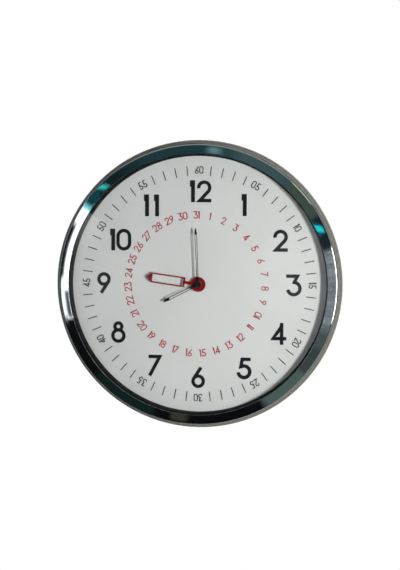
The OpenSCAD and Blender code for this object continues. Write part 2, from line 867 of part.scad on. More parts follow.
module train_plate() {
    coil_cut = coil_x - coil_flange_r - 0.6;
    color("#d9d6cc") hung() translate([0, 0, plate_top - plate_t]) linear_extrude(plate_t) difference() {
        intersection() {
            move_outline(move_wall + 0.15);
            translate([-move_w, bay_top + bay_wall + 0.15]) square([2 * move_w, 2 * move_up]);
        }
        circle(post_r + run_gap);
        for (p = [third_p, second_p, step_p, rotor_p]) at(p) circle(pivot_r + run_gap);
        for (p = [time_knob_p, date_knob_p]) at(p) circle(shaft_r + 0.4);
        translate([coil_cut, coil_low - 1.2]) square([move_w, move_up]);
    }
}

module minute_arbor() {
    color("#c9ccd0") hung() {
        disc(plate_top - plate_t - 0.1, motion_level - 0.6, post_r);
        gear(motion_level - 0.6, pinion_t, cannon_n, work_mod, cannon_turn);
        disc(motion_level - 0.6 + pinion_t, minute_hand_z, minute_arbor_r);
        disc(minute_hand_z, hand_nut_top + 0.4, arbor_end_r);
    }
}

module centre_wheel() {
    color("#c8a951") hung()
        spoked_gear(centre_level, 0.8, centre_n, train_mod, centre_turn, post_r + run_gap);
}

module train_arbor(z0, z1) {
    disc(z0, z1, pivot_r);
}

module third_wheel() {
    color("#e8e4da") hung() at(third_p) {
        train_arbor(move_back + 0.3, plate_top + 0.2);
        spoked_gear(third_level, 0.8, third_n, train_mod, third_turn);
        gear(plate_top + 0.2, 1.3, train_pinion_n, train_mod, third_pinion_turn);
    }
}

module second_wheel() {
    color("#e8e4da") hung() at(second_p) {
        train_arbor(move_back + 0.3, plate_top - 0.1);
        spoked_gear(second_level, 0.8, second_n, train_mod, second_turn);
        gear(second_level + 0.8, third_level + 0.1 - second_level, train_pinion_n, train_mod,
            second_pinion_turn);
    }
}

module step_wheel() {
    color("#e8e4da") hung() at(step_p) {
        train_arbor(move_back + 0.3, plate_top - 0.1);
        spoked_gear(step_level, 0.8, step_n, train_mod, step_turn);
        gear(step_level + 0.8, second_level + 0.1 - step_level, train_pinion_n, train_mod, step_pinion_turn);
    }
}

module rotor() {
    magnet_r = 2.6;
    color("#5a5d63") hung() at(rotor_p) {
        train_arbor(move_back + 0.3, plate_top - 0.1);
        gear(step_level - 0.1, 1.1, train_pinion_n, train_mod, rotor_turn);
        disc(stator_z - 0.8, stator_z + 1.1, magnet_r);
    }
}

module motion_wheel() {
    color("#e8e4da") hung() at(motion_p) {
        spoked_gear(motion_level, gear_t, motion_n, work_mod, motion_turn, post_r + run_gap);
        gear(motion_level + gear_t, hour_level + 0.2 - motion_level, motion_pinion_n, work_mod,
            motion_pinion_turn, post_r + run_gap);
    }
}

module hour_wheel() {
    bore = minute_arbor_r + run_gap;
    color("#e8e4da") hung() {
        gear(hour_level, gear_t, hour_n, work_mod, hour_turn, bore);
        gear(hour_level + gear_t, day_level - hour_level, hour_pinion_n, work_mod, hour_pinion_turn, bore);
        disc(day_level + gear_t, hour_hand_z, hour_tube_r, bore);
        disc(hour_hand_z, hour_hand_z + hand_t + collar, hour_tube_r - step_in, bore);
    }
}

module day_wheel() {
    finger_r = 2.7;
    finger_w = 0.7;
    finger_z = day_level + gear_t;
    color("#d86a2a") hung() at(day_p) {
        spoked_gear(day_level, gear_t, day_n, work_mod, day_turn, post_r + run_gap);
        translate([0, 0, finger_z]) linear_extrude(date_level + 0.8 - finger_z) difference() {
            union() {
                circle(post_r + 0.35);
                rotate(day_dir) translate([0, -finger_w / 2]) square([finger_r, finger_w]);
            }
            circle(post_r + run_gap);
        }
    }
}

module date_wheel() {
    bore = hour_tube_r + run_gap;
    color("#e8e4da") hung() {
        gear(date_level, 0.9, date_n, date_mod, date_turn, bore);
        disc(date_level + 0.9, date_hand_z, date_tube_r, bore);
        disc(date_hand_z, date_hand_z + hand_t + collar, date_tube_r - step_in, bore);
    }
}

// The jumper is drawn lifted, just clear of the tips of the date wheel's teeth
module date_jumper() {
    tip_r = date_mod * date_n / 2 + 0.7 * date_mod;
    reach = tip_r + 0.3;
    jumper_dir = 168;
    arm = 9;
    eye_r = 1.6;
    screw_hole_r = 0.7;
    color("#b8bcc0") hung() rotate(jumper_dir) translate([reach + 0.5, 0, date_level + 0.1]) {
        linear_extrude(0.6) {
            circle(0.5);
            translate([-0.3, -arm + eye_r - 0.4]) square([0.6, arm - eye_r + 0.4]);
        }
        translate([0, -arm, 0]) linear_extrude(move_floor - date_level - 0.1) ring(eye_r, eye_r - screw_hole_r);
    }
}

module setting_knob(p, top, level, teeth, m, turn) {
    grooves = 16;
    at(p) {
        difference() {
            disc(move_back - knob_h, move_back - 0.3, knob_r);
            for (i = [0 : grooves - 1])
                rotate(i * 360 / grooves) translate([knob_r + 0.15, 0, move_back - knob_h - 1])
                    cylinder(r = 0.5, h = knob_h + 2);
            translate([-knob_r * 0.6, -0.45, move_back - knob_h - 1]) cube([knob_r * 1.2, 0.9, 1.8]);
        }
        disc(move_back - 0.3, level, shaft_r);
        gear(level, top - level, teeth, m, turn);
    }
}

module time_knob() {
    color("#f0f0ee") hung()
        setting_knob(time_knob_p, motion_level + 1.1, motion_level - 0.2, knob_n, work_mod, knob_turn);
}

module date_knob() {
    color("#c0392b") hung()
        setting_knob(date_knob_p, date_level + 1.1, date_level - 0.2, date_pinion_n, date_mod,
            date_pinion_turn);
}

module stator() {
    left = coil_x - coil_flange_r - 0.5;
    end = coil_x + 1.3;
    low = coil_low - 0.2;
    high = coil_high + 0.2;
    tab = 0.9;
    color("#8d9196") hung() {
        translate([0, 0, stator_z]) linear_extrude(stator_t) difference() {
            union() {
                at(rotor_p) circle(stator_ring_r);
                polygon([
                    rotor_p + [2, -3.8], [coil_x - 1.3, low - stator_end], [end, low - stator_end], [end, low],
                    [left, low], rotor_p + [3.6, -0.5]
                ]);
                polygon([
                    rotor_p + [-1.5, 3.8], rotor_p + [3, 3.2], [left, high - 3], [left, high],
                    [end, high], [end, high + tab], [left - 2, high + tab]
                ]);
            }
            at(rotor_p) circle(stator_bore_r);
        }
        translate([coil_x - core_half, low - 0.2, stator_z]) cube([2 * core_half, high - low + 0.5, stator_t]);
    }
}

module lying(y0, y1) {
    translate([coil_x, y0, coil_z]) rotate([-90, 0, 0]) linear_extrude(y1 - y0) children();
}

module core_slot() {
    translate([-core_half - core_gap, core_drop - stator_t - core_gap])
        square([2 * core_half + 2 * core_gap, stator_t + 2 * core_gap]);
}

module coil_bobbin() {
    color("#e4e2da") hung() {
        for (y = [coil_low, coil_high - coil_flange_t]) lying(y, y + coil_flange_t) difference() {
            circle(coil_flange_r);
            core_slot();
        }
        lying(coil_low + coil_flange_t, coil_high - coil_flange_t) difference() {
            circle(coil_bore_r);
            core_slot();
        }
    }
}

module coil_winding() {
    color("#b5652b") hung() lying(coil_low + coil_flange_t, coil_high - coil_flange_t) difference() {
        circle(coil_r);
        circle(coil_bore_r);
    }
}

module circuit_board() {
    color("#2f6b3f") hung() translate([board_x, board_low, cover_top])
        cube([board_w, board_high - board_low, board_t]);
}

module circuit_chip() {
    blob_r = 2.8;
    blob_h = 0.8;
    color("#101113") hung() translate([part_x, board_low + 5, cover_top + board_t])
        cylinder(r = blob_r, h = blob_h);
}

module quartz_crystal() {
    can_r = 1;
    can_l = 6;
    seal_r = 0.6;
    color("#c4c8cc") hung()
        translate([part_x, board_low + 9, cover_top + board_t + can_r]) rotate([-90, 0, 0]) {
            cylinder(r = can_r, h = can_l);
            translate([0, 0, -seal_r]) cylinder(r = seal_r, h = seal_r);
        }
}

// A contact strip stands on the floor of the bay, behind one end of the cell
module contact(x) {
    strip_w = 8;
    foot = cover_top + 0.4;
    translate([x, bay_mid - strip_w / 2, foot]) cube([contact_t, strip_w, move_floor - foot]);
}

module contact_plus() {
    color("#c9b36a") hung() contact(cell_l / 2 + contact_gap);
}

module contact_minus() {
    color("#b9bdc1") hung() contact(-cell_l / 2 - contact_gap - contact_t);
}

module battery() {
    nub_r = 2.7;
    nub_l = 1.2;
    color("#3b5f8c") hung() translate([-cell_l / 2, bay_mid, cell_z]) rotate([0, 90, 0]) {
        cylinder(r = cell_d / 2, h = cell_l - nub_l);
        translate([0, 0, cell_l - nub_l]) cylinder(r = nub_r, h = nub_l);
    }
}

rear_case();
bezel();
glass();
spacer_ring();
dial_plate();
hour_numerals();
minute_numerals();
minute_ticks();
date_numerals();
case_screws();
minute_hand();
hour_hand();
date_hand();
hand_nut();
movement_case();
movement_cover();
movement_gasket();
mounting_washer();
mounting_nut();
train_plate();
minute_arbor();
centre_wheel();
third_wheel();
second_wheel();
step_wheel();
rotor();
motion_wheel();
hour_wheel();
day_wheel();
date_wheel();
date_jumper();
time_knob();
date_knob();
stator();
coil_bobbin();
coil_winding();
circuit_board();
circuit_chip();
quartz_crystal();
contact_plus();
contact_minus();
battery();
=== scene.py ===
"""Round wall clock with a calendar hand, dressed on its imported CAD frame.

Shapes are drawn in millimetres in the dial frame, with x to the right, y up and z out of the wall.
HUNG then turns them upright in metres, with the wall screw at the origin.
"""
import json
import logging
import math
from dataclasses import dataclass
from enum import Enum

import bmesh
import bpy
import numpy as np
from mathutils import Matrix, Vector


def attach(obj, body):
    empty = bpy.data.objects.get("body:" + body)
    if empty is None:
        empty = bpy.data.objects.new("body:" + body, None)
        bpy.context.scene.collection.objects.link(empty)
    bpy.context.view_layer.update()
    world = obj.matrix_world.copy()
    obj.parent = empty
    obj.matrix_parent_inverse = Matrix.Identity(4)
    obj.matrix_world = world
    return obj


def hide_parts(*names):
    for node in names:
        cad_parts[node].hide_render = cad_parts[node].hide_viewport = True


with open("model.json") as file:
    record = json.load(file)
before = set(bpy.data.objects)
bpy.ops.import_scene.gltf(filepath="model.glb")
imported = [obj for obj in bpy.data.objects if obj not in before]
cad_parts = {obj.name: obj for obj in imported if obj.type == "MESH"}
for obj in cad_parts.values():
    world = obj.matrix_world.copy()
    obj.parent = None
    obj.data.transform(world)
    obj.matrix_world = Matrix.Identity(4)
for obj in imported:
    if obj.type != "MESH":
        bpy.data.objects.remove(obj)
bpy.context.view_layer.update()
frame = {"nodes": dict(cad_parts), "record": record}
LOG = logging.getLogger("clock")

MM = 0.001
HANG_DROP = 112.0
HUNG = (
    Matrix.Translation((0.0, 0.0, -HANG_DROP * MM))
    @ Matrix.Rotation(math.pi / 2, 4, "X")
    @ Matrix.Scale(MM, 4)
)
DIAL_Z = 27.0
SAME_LEVEL = 1e-6
WELD = 1e-4
FULL_TURN = 360.0
NO_CYCLE = 1e6
# Share of light that the chrome mirrors; the painted reflection colours are divided by it
CHROME_LIGHT = 0.57
UNDER_ONE = 0.5
WAVE_PITCH = math.pi / 10
USUAL_NOISE = {"From Min": 0.35, "From Max": 0.65}

Point = tuple[float, float]
Profile = list[Point]
Outline = tuple[Point, ...]
Sockets = dict[str | int, object]
Tree = bpy.types.NodeTree
Socket = bpy.types.NodeSocket
Mesh = bpy.types.Mesh
Node = bpy.types.Node
Material = bpy.types.Material


class Body(Enum):
    """Bodies of the clock that new pieces ride on."""

    CASE = "root"
    MINUTE = "minute"
    CELL = "cell"


class Slot(Enum):
    """Material slots of the record, by what they finish."""

    CASE = "satin_case"
    CHROME = "chrome"
    GLASS = "glass"
    TRIM = "black_trim"
    DIAL = "dial"
    BLACK_INK = "black_ink"
    RED_INK = "red_ink"
    STEEL = "steel"
    BLACK_HAND = "black_hand"
    RED_HAND = "red_hand"
    BLACK_PLASTIC = "black_plastic"
    RUBBER = "rubber"
    BRASS = "brass"
    NATURAL = "natural_plastic"
    MAGNET = "magnet"
    ORANGE = "orange_plastic"
    WHITE = "white_plastic"
    RED = "red_plastic"
    COPPER = "copper"
    BOARD = "board"
    CELL = "cell_jacket"


def linear(code: str) -> tuple[float, float, float, float]:
    """Turn an sRGB hex colour into linear light.

    Args:
        code: colour as "#rrggbb".

    Returns:
        Red, green, blue and an alpha of one.
    """
    parts = [int(code[i:i + 2], 16) / 255 for i in (1, 3, 5)]
    light = [p / 12.92 if p <= 0.04045 else ((p + 0.055) / 1.055) ** 2.4 for p in parts]
    return (light[0], light[1], light[2], 1.0)


def link_object(name: str, data: bpy.types.ID) -> bpy.types.Object:
    """Put a mesh, lamp or camera into the scene.

    Args:
        name: name of the object.
        data: what it holds.

    Returns:
        The object.
    """
    thing = bpy.data.objects.new(name, data)
    bpy.context.scene.collection.objects.link(thing)
    return thing


def add_node(tree: Tree, kind: str, sockets: Sockets | None = None, **settings: object) -> Node:
    """Add a node with its settings, its socket values and its links.

    Args:
        tree: tree to add it to.
        kind: Blender's name for the type of node.
        sockets: value of each input, or its source.
        settings: attributes, set before the sockets.

    Returns:
        The node.
    """
    node = tree.nodes.new(kind)
    for key, value in settings.items():
        setattr(node, key, value)
    for socket, value in (sockets or {}).items():
        if isinstance(value, Node):
            value = value.outputs[0]
        if isinstance(value, Socket):
            tree.links.new(value, node.inputs[socket])
        else:
            node.inputs[socket].default_value = value
    return node


def calc(tree: Tree, operation: str, first: object, second: object, clamp: bool = False) -> Socket:
    """Work out one value from two, each a number or its source."""
    kind, sockets = "ShaderNodeMath", {0: first, 1: second}
    return add_node(tree, kind, sockets, operation=operation, use_clamp=clamp).outputs[0]


def blend(tree: Tree, share: object, first: object, second: object) -> Socket:
    """Mix two colours, each a value or its source, by a factor."""
    sockets = {0: share, 6: first, 7: second}
    return add_node(tree, "ShaderNodeMix", sockets, data_type="RGBA").outputs[2]


def start_material(name: str, values: Sockets) -> tuple[Material, Tree, Node]:
    """Start a material on its principled shader.

    Args:
        name: name of the material.
        values: uniform values by socket.

    Returns:
        The material, its tree and its shader.
    """
    material = bpy.data.materials.new(name)
    material.use_nodes = True
    shader = material.node_tree.nodes["Principled BSDF"]
    for socket, value in values.items():
        shader.inputs[socket].default_value = value
    return material, material.node_tree, shader


@dataclass(frozen=True)
class Grain:
    """One layer of a surface's pattern, as soft noise whose size and depth are in millimetres.

    Shade is the most that it mixes in of the second colour, gloss how far it sways the roughness,
    and stretch how much finer the grain is along x, y and z.
    """

    size: float
    shade: float = 0.0
    gloss: float = 0.0
    depth: float = 0.0
    stretch: tuple[float, float, float] = (1.0, 1.0, 1.0)
    detail: float = 2.0

    def noise(self, tree: Tree, place: Socket) -> Socket:
        """Lay the noise out at its real size.

        Args:
            tree: tree of the material.
            place: Object coordinates.

        Returns:
            The noise.
        """
        scale = [s / (self.size * MM) for s in self.stretch]
        spread = add_node(tree, "ShaderNodeMapping", {"Vector": place, "Scale": scale})
        sockets = {"Vector": spread, "Scale": 1.0, "Detail": self.detail}
        return add_node(tree, "ShaderNodeTexNoise", sockets).outputs["Fac"]


@dataclass(frozen=True)
class Finish:
    """A surface: one shader whose colour, roughness and relief vary with layers of grain.

    It is named for the real material and how it was made. The grain mixes in the second colour.
    """

    name: str
    colour: str
    second: str = "#000000"
    roughness: float = 0.5
    metallic: float = 0.0
    ior: float = 1.5
    coat: float = 0.0
    coat_roughness: float = 0.06
    grains: tuple[Grain, ...] = ()

    def colour_field(self, tree: Tree, place: Socket) -> Socket | None:
        """Give the colour under the grain, where it isn't the same all over."""
        return None

    def make(self) -> Material:
        """Build the material.

        Returns:
            The material, named for the finish.
        """
        plain = linear(self.colour)
        material, tree, shader = start_material(self.name, {
            "Base Color": plain, "Roughness": self.roughness, "Metallic": self.metallic,
            "IOR": self.ior, "Coat Weight": self.coat, "Coat Roughness": self.coat_roughness,
        })
        place = add_node(tree, "ShaderNodeTexCoord").outputs["Object"]
        colour = self.colour_field(tree, place)
        rough: Socket | None = None
        normal: Socket | None = None
        for grain in self.grains:
            noise = grain.noise(tree, place)
            usual: Sockets = {"Value": noise, **USUAL_NOISE}
            if grain.shade:
                share = add_node(tree, "ShaderNodeMapRange", {**usual, "To Max": grain.shade})
                colour = blend(tree, share, colour or plain, linear(self.second))
            if grain.gloss:
                ends = {"To Min": -grain.gloss, "To Max": grain.gloss}
                sway = add_node(tree, "ShaderNodeMapRange", {**usual, **ends})
                rough = calc(tree, "ADD", rough or self.roughness, sway, clamp=True)
            if grain.depth:
                relief: Sockets = {"Height": noise, "Distance": grain.depth * MM}
                if normal:
                    relief["Normal"] = normal
                normal = add_node(tree, "ShaderNodeBump", relief).outputs[0]
        for socket, source in (("Base Color", colour), ("Roughness", rough), ("Normal", normal)):
            if source:
                tree.links.new(source, shader.inputs[socket])
        return material


@dataclass(frozen=True)
class Banded(Finish):
    """A finish whose main colour changes along an axis, at each edge in millimetres to another."""

    axis: int = 0
    bands: tuple[tuple[float, str], ...] = ()

    def colour_field(self, tree: Tree, place: Socket) -> Socket | None:
        """Mix in one colour after another past its edge.

        Args:
            tree: tree of the material.
            place: Object coordinates.

        Returns:
            The banded colour.
        """
        along = add_node(tree, "ShaderNodeSeparateXYZ", {0: place}).outputs[self.axis]
        colour: object = linear(self.colour)
        for edge, code in self.bands:
            colour = blend(tree, calc(tree, "GREATER_THAN", along, edge * MM), colour, linear(code))
        return colour


@dataclass(frozen=True)
class Wound(Finish):
    """Enamelled wire in close turns around an upright spool, with their pitch in millimetres, and
    painted shade in the grooves between them.
    """

    pitch: float = 0.5

    def colour_field(self, tree: Tree, place: Socket) -> Socket | None:
        """Paint shade into the grooves between the turns, where the round wires would shade each
        other.

        Args:
            tree: tree of the material.
            place: Object coordinates.

        Returns:
            The ringed colour.
        """
        sockets = {"Vector": place, "Scale": WAVE_PITCH / (self.pitch * MM)}
        wave = add_node(tree, "ShaderNodeTexWave", sockets, bands_direction="Z")
        # Painted shade: the dark second colour fills the grooves, the main colour the crests
        return blend(tree, wave.outputs["Fac"], linear(self.second), linear(self.colour))


@dataclass(frozen=True)
class Etched(Finish):
    """A circuit board whose copper fields show through the lacquer.

    A track is as wide as that many millimetres. Its gap and length are shares of that width.
    """

    track: float = 1.6
    third: str = "#2c7a48"
    gap: float = 0.12
    length: float = 2.6

    def colour_field(self, tree: Tree, place: Socket) -> Socket | None:
        """Lay brick-like fields with thin dark gaps, as poured copper has them.

        Args:
            tree: tree of the material.
            place: Object coordinates.

        Returns:
            The colour of tracks and gaps.
        """
        turned = {"Vector": place, "Rotation": (math.pi / 2, 0.0, 0.0)}
        width = self.track * MM
        return add_node(tree, "ShaderNodeTexBrick", {
            "Vector": add_node(tree, "ShaderNodeMapping", turned), "Scale": 1.0,
            "Color1": linear(self.colour), "Color2": linear(self.third),
            "Mortar": linear(self.second), "Mortar Size": width * self.gap,
            "Brick Width": width * self.length, "Row Height": width,
        }).outputs["Color"]


@dataclass(frozen=True)
class Pane:
    """Float glass: a clear pane, tinted a little, that lets the lamps through to the dial."""

    name: str = "soda_lime_float_glass"
    tint: str = "#f8f9f9"
    lamp_tint: str = "#f3f4f4"
    ior: float = 1.52

    def make(self) -> Material:
        """Build the material: mirror-flat faces, and no shadow on the dial behind.

        Returns:
            The material, named for the finish.
        """
        material, tree, shader = start_material(self.name, {
            "Base Color": linear(self.tint), "Roughness": 0.0, "IOR": self.ior,
            "Transmission Weight": 1.0,
        })
        through = add_node(tree, "ShaderNodeBsdfTransparent", {"Color": linear(self.lamp_tint)})
        shadow = add_node(tree, "ShaderNodeLightPath").outputs["Is Shadow Ray"]
        mixed = add_node(tree, "ShaderNodeMixShader", {0: shadow, 1: shader, 2: through})
        tree.links.new(mixed.outputs[0], tree.nodes["Material Output"].inputs["Surface"])
        return material


SATIN_ACETAL = (Grain(3.0, shade=0.5, depth=0.004),)
KNOB_ACETAL = (Grain(2.2, shade=0.5, depth=0.006),)
SCREENED_INK = (Grain(0.8, shade=0.5, depth=0.003),)

FINISHES: dict[Slot, Finish | Pane] = {
    # Chrome plated on moulded ABS: a mirror with faint moulding waves and a few dull, wiped patches
    Slot.CHROME: Finish(
        "chrome_plated_abs", "#c3c8ca", roughness=0.035, metallic=1.0,
        grains=(Grain(26.0, depth=0.015, detail=1.0), Grain(7.0, gloss=0.02, detail=4.0)),
    ),
    # Satin metallic paint on moulded ABS: warm grey with fine flake and a slow change of gloss
    Slot.CASE: Finish(
        "satin_metallic_painted_abs", "#76756e", "#65645d", roughness=0.46, metallic=0.35,
        grains=(Grain(1.1, shade=0.55, depth=0.006, detail=3.0), Grain(30.0, gloss=0.06)),
    ),
    # Clear float glass over the dial
    Slot.GLASS: Pane(),
    # Black polystyrene from a finely blasted mould: a deep, matt black with hardly any sheen
    Slot.TRIM: Finish(
        "moulded_black_polystyrene", "#050607", "#0b0c0e", roughness=0.6, ior=1.33,
        grains=(Grain(0.9, shade=0.5, depth=0.004), Grain(14.0, gloss=0.08)),
    ),
    # White-lacquered aluminium sheet: even pale grey-white with the lacquer's faint orange peel
    Slot.DIAL: Finish(
        "white_lacquered_aluminium_sheet", "#e6e8e8", "#dedfdf", roughness=0.6,
        grains=(Grain(1.6, shade=0.5, depth=0.003), Grain(45.0, shade=0.4, detail=1.0)),
    ),
    # Screen-printed black ink: blue-black and matt, a touch uneven as the screen leaves it
    Slot.BLACK_INK: Finish(
        "screen_printed_black_ink", "#0d0f14", "#191c22", roughness=0.55, grains=SCREENED_INK
    ),
    # Screen-printed red ink: thin enough that the white below lifts it towards pink
    Slot.RED_INK: Finish(
        "screen_printed_red_ink", "#b00c25", "#bb1c35", roughness=0.55, grains=SCREENED_INK
    ),
    # Drawn bright steel: fine lines along the bar and a mild lustre
    Slot.STEEL: Finish(
        "drawn_bright_steel", "#b3b6b9", "#8d9094", roughness=0.3, metallic=1.0,
        grains=(Grain(1.2, shade=0.4, gloss=0.08, stretch=(1.0, 0.15, 1.0), detail=4.0),),
    ),
    # Black enamel on stamped aluminium: satin black with a low sheen
    Slot.BLACK_HAND: Finish(
        "black_enamelled_aluminium", "#08090b", "#15171a", roughness=0.32,
        grains=(Grain(1.0, shade=0.4, depth=0.003),),
    ),
    # Red enamel on stamped aluminium: deep red with a soft gloss
    Slot.RED_HAND: Finish(
        "red_enamelled_aluminium", "#900505", "#720303", roughness=0.34, coat=0.3,
        grains=(Grain(1.3, shade=0.45, depth=0.004), Grain(12.0, shade=0.3)),
    ),
    # Black ABS from a spark-eroded mould: a fine leathery grain that breaks up the highlights
    Slot.BLACK_PLASTIC: Finish(
        "spark_grained_black_abs", "#1d1f22", "#2b2e32", roughness=0.48,
        grains=(Grain(0.7, shade=0.45, gloss=0.05, depth=0.02, detail=3.0), Grain(16.0, shade=0.3)),
    ),
    # Moulded nitrile rubber: dull black with a bloom
    Slot.RUBBER: Finish(
        "moulded_nitrile_rubber", "#161719", "#26282a", roughness=0.85,
        grains=(Grain(2.0, shade=0.6, depth=0.01),),
    ),
    # Turned brass: warm, with lathe lines and light tarnish
    Slot.BRASS: Finish(
        "turned_brass", "#c7a552", "#9a7b3a", roughness=0.26, metallic=1.0,
        grains=(Grain(0.8, gloss=0.07, stretch=(1.0, 3.0, 1.0), detail=4.0),
                Grain(5.0, shade=0.35)),
    ),
    # Natural acetal, moulded: milky ivory with a waxy sheen
    Slot.NATURAL: Finish("moulded_natural_acetal", "#e6e2d4", "#d6d1bf", 0.4, grains=SATIN_ACETAL),
    # Sintered ferrite, ground: dark grey with a stony grain
    Slot.MAGNET: Finish(
        "ground_sintered_ferrite", "#4a4d52", "#37393d", roughness=0.55, metallic=0.4,
        grains=(Grain(0.4, shade=0.6, depth=0.006),),
    ),
    # Orange acetal, moulded: waxy orange, for the day wheel
    Slot.ORANGE: Finish("moulded_orange_acetal", "#d86a2a", "#c25a20", 0.4, grains=SATIN_ACETAL),
    # White acetal, moulded: waxy white, for the time setting knob
    Slot.WHITE: Finish("moulded_white_acetal", "#ecece8", "#dcdcd6", 0.38, grains=KNOB_ACETAL),
    # Red acetal, moulded: waxy red, for the date setting knob
    Slot.RED: Finish("moulded_red_acetal", "#b93426", "#a02a1e", 0.38, grains=KNOB_ACETAL),
    # Enamelled copper wire of 0.03 mm, drawn as 0.5 mm turns so that they show at all, with painted
    # shade in the grooves between them
    Slot.COPPER: Wound(
        "wound_enamelled_copper_wire", "#b5652b", "#6e3814", roughness=0.35, metallic=1.0
    ),
    # Glass-epoxy board under green solder lacquer: glossy, with the copper's fields below it
    Slot.BOARD: Etched(
        "lacquered_glass_epoxy_board", "#246a3c", "#123f22", roughness=0.3, coat=0.4,
        grains=(Grain(1.5, depth=0.004),),
    ),
    # Printed shrink film over a steel can: glossy, in two plain colours
    Slot.CELL: Banded(
        "printed_shrink_film", "#2f4f78", "#27436a", roughness=0.24, coat=0.5,
        grains=(Grain(9.0, shade=0.4, depth=0.01),), bands=((14.5, "#c9ccd0"), (16.3, "#2f4f78")),
    ),
}


def dress_frame() -> dict[Slot, Material]:
    """Build every finish and give each CAD node the one of its slot.

    Returns:
        The material of each slot.
    """
    dressed = {slot: finish.make() for slot, finish in FINISHES.items()}
    for row in frame["record"]["subparts"]:
        finish = dressed[Slot(row["material_slot"])]
        for holder in frame["nodes"][row["node"]].material_slots:
            holder.material = finish
        LOG.info("%s: dressed in %s", row["node"], finish.name)
    return dressed


def polar(radius: float, degrees: float) -> Point:
    """Find the point in the dial's plane at a radius and an angle in degrees."""
    return (radius * math.cos(math.radians(degrees)), radius * math.sin(math.radians(degrees)))


def moved(points: Profile | Outline, by: Point) -> Profile:
    """Move points in the dial's plane by an offset."""
    return [(by[0] + x, by[1] + y) for x, y in points]


def arc(centre: Point, radius: float, start: float, end: float, steps: int) -> Profile:
    """Draw points along an arc between two angles in degrees, both ends included."""
    turns = [start + (end - start) * i / steps for i in range(steps + 1)]
    return moved([polar(radius, turn) for turn in turns], centre)


def rectangle(x0: float, y0: float, x1: float, y1: float) -> Profile:
    """Draw a rectangle between two opposite corners, counter-clockwise."""
    return [(x0, y0), (x1, y0), (x1, y1), (x0, y1)]


def cross(half: float, reach: float) -> Profile:
    """Draw an upright cross about the middle.

    Args:
        half: half the width of its arms.
        reach: length of each arm from the middle.

    Returns:
        Corners counter-clockwise.
    """
    points: Profile = []
    corner = [(half, half), (half, reach), (-half, reach)]
    for _ in range(4):
        points += corner
        corner = [(-y, x) for x, y in corner]
    return points


def settled(name: str, shape: bmesh.types.BMesh) -> Mesh:
    """Turn a drawn shape into a mesh, and free the drawing.

    Args:
        name: name of the mesh.
        shape: what was drawn.

    Returns:
        The mesh.
    """
    mesh = bpy.data.meshes.new(name)
    shape.to_mesh(mesh)
    shape.free()
    return mesh


def evaluated(holder: bpy.types.Object) -> Mesh:
    """Take the mesh that an object's modifiers make."""
    graph = bpy.context.evaluated_depsgraph_get()
    return bpy.data.meshes.new_from_object(holder.evaluated_get(graph), depsgraph=graph)


def prism(name: str, outline: Profile, low: float, high: float, chamfer: float = 0.0) -> Mesh:
    """Raise a flat outline to a solid with a chamfered far face.

    Args:
        name: name of the mesh.
        outline: corners counter-clockwise.
        low: height of its near face.
        high: height of its far face, which may be the lower.
        chamfer: width of the chamfer.

    Returns:
        The closed mesh.
    """
    shape = bmesh.new()
    base = shape.faces.new([shape.verts.new((x, y, low)) for x, y in outline])
    grown = bmesh.ops.extrude_face_region(shape, geom=[base])["geom"]
    far = [v for v in grown if isinstance(v, bmesh.types.BMVert)]
    bmesh.ops.translate(shape, vec=(0.0, 0.0, high - low), verts=far)
    bmesh.ops.recalc_face_normals(shape, faces=shape.faces)
    if chamfer:
        tops = [f for f in shape.faces if all(abs(v.co.z - high) < SAME_LEVEL for v in f.verts)]
        bmesh.ops.inset_region(shape, faces=tops, thickness=chamfer, use_even_offset=True)
        sink = -math.copysign(chamfer, high - low)
        rim = {v for f in tops for v in f.verts}
        edge = [v for v in shape.verts if abs(v.co.z - high) < SAME_LEVEL and v not in rim]
        bmesh.ops.translate(shape, vec=(0.0, 0.0, sink), verts=edge)
    return settled(name, shape)


def joined(name: str, parts: list[Mesh]) -> Mesh:
    """Join meshes into one, as separate shells.

    Args:
        name: name of the joined mesh.
        parts: meshes in the dial frame.

    Returns:
        The joined mesh.
    """
    shape = bmesh.new()
    for part in parts:
        shape.from_mesh(part)
    return settled(name, shape)


@dataclass(frozen=True)
class Ring:
    """Even places around the dial's axis, the first at an angle in degrees."""

    count: int
    radius: float
    first: float


@dataclass(frozen=True)
class Tag:
    """What a piece is called, rides on, is made of and stands for, and how sharp its edges stay."""

    name: str
    body: Body
    slot: Slot
    stands_for: str = ""
    sharp: float = 35.0


RIM_SCREWS = Ring(6, 142.8, 30.0)


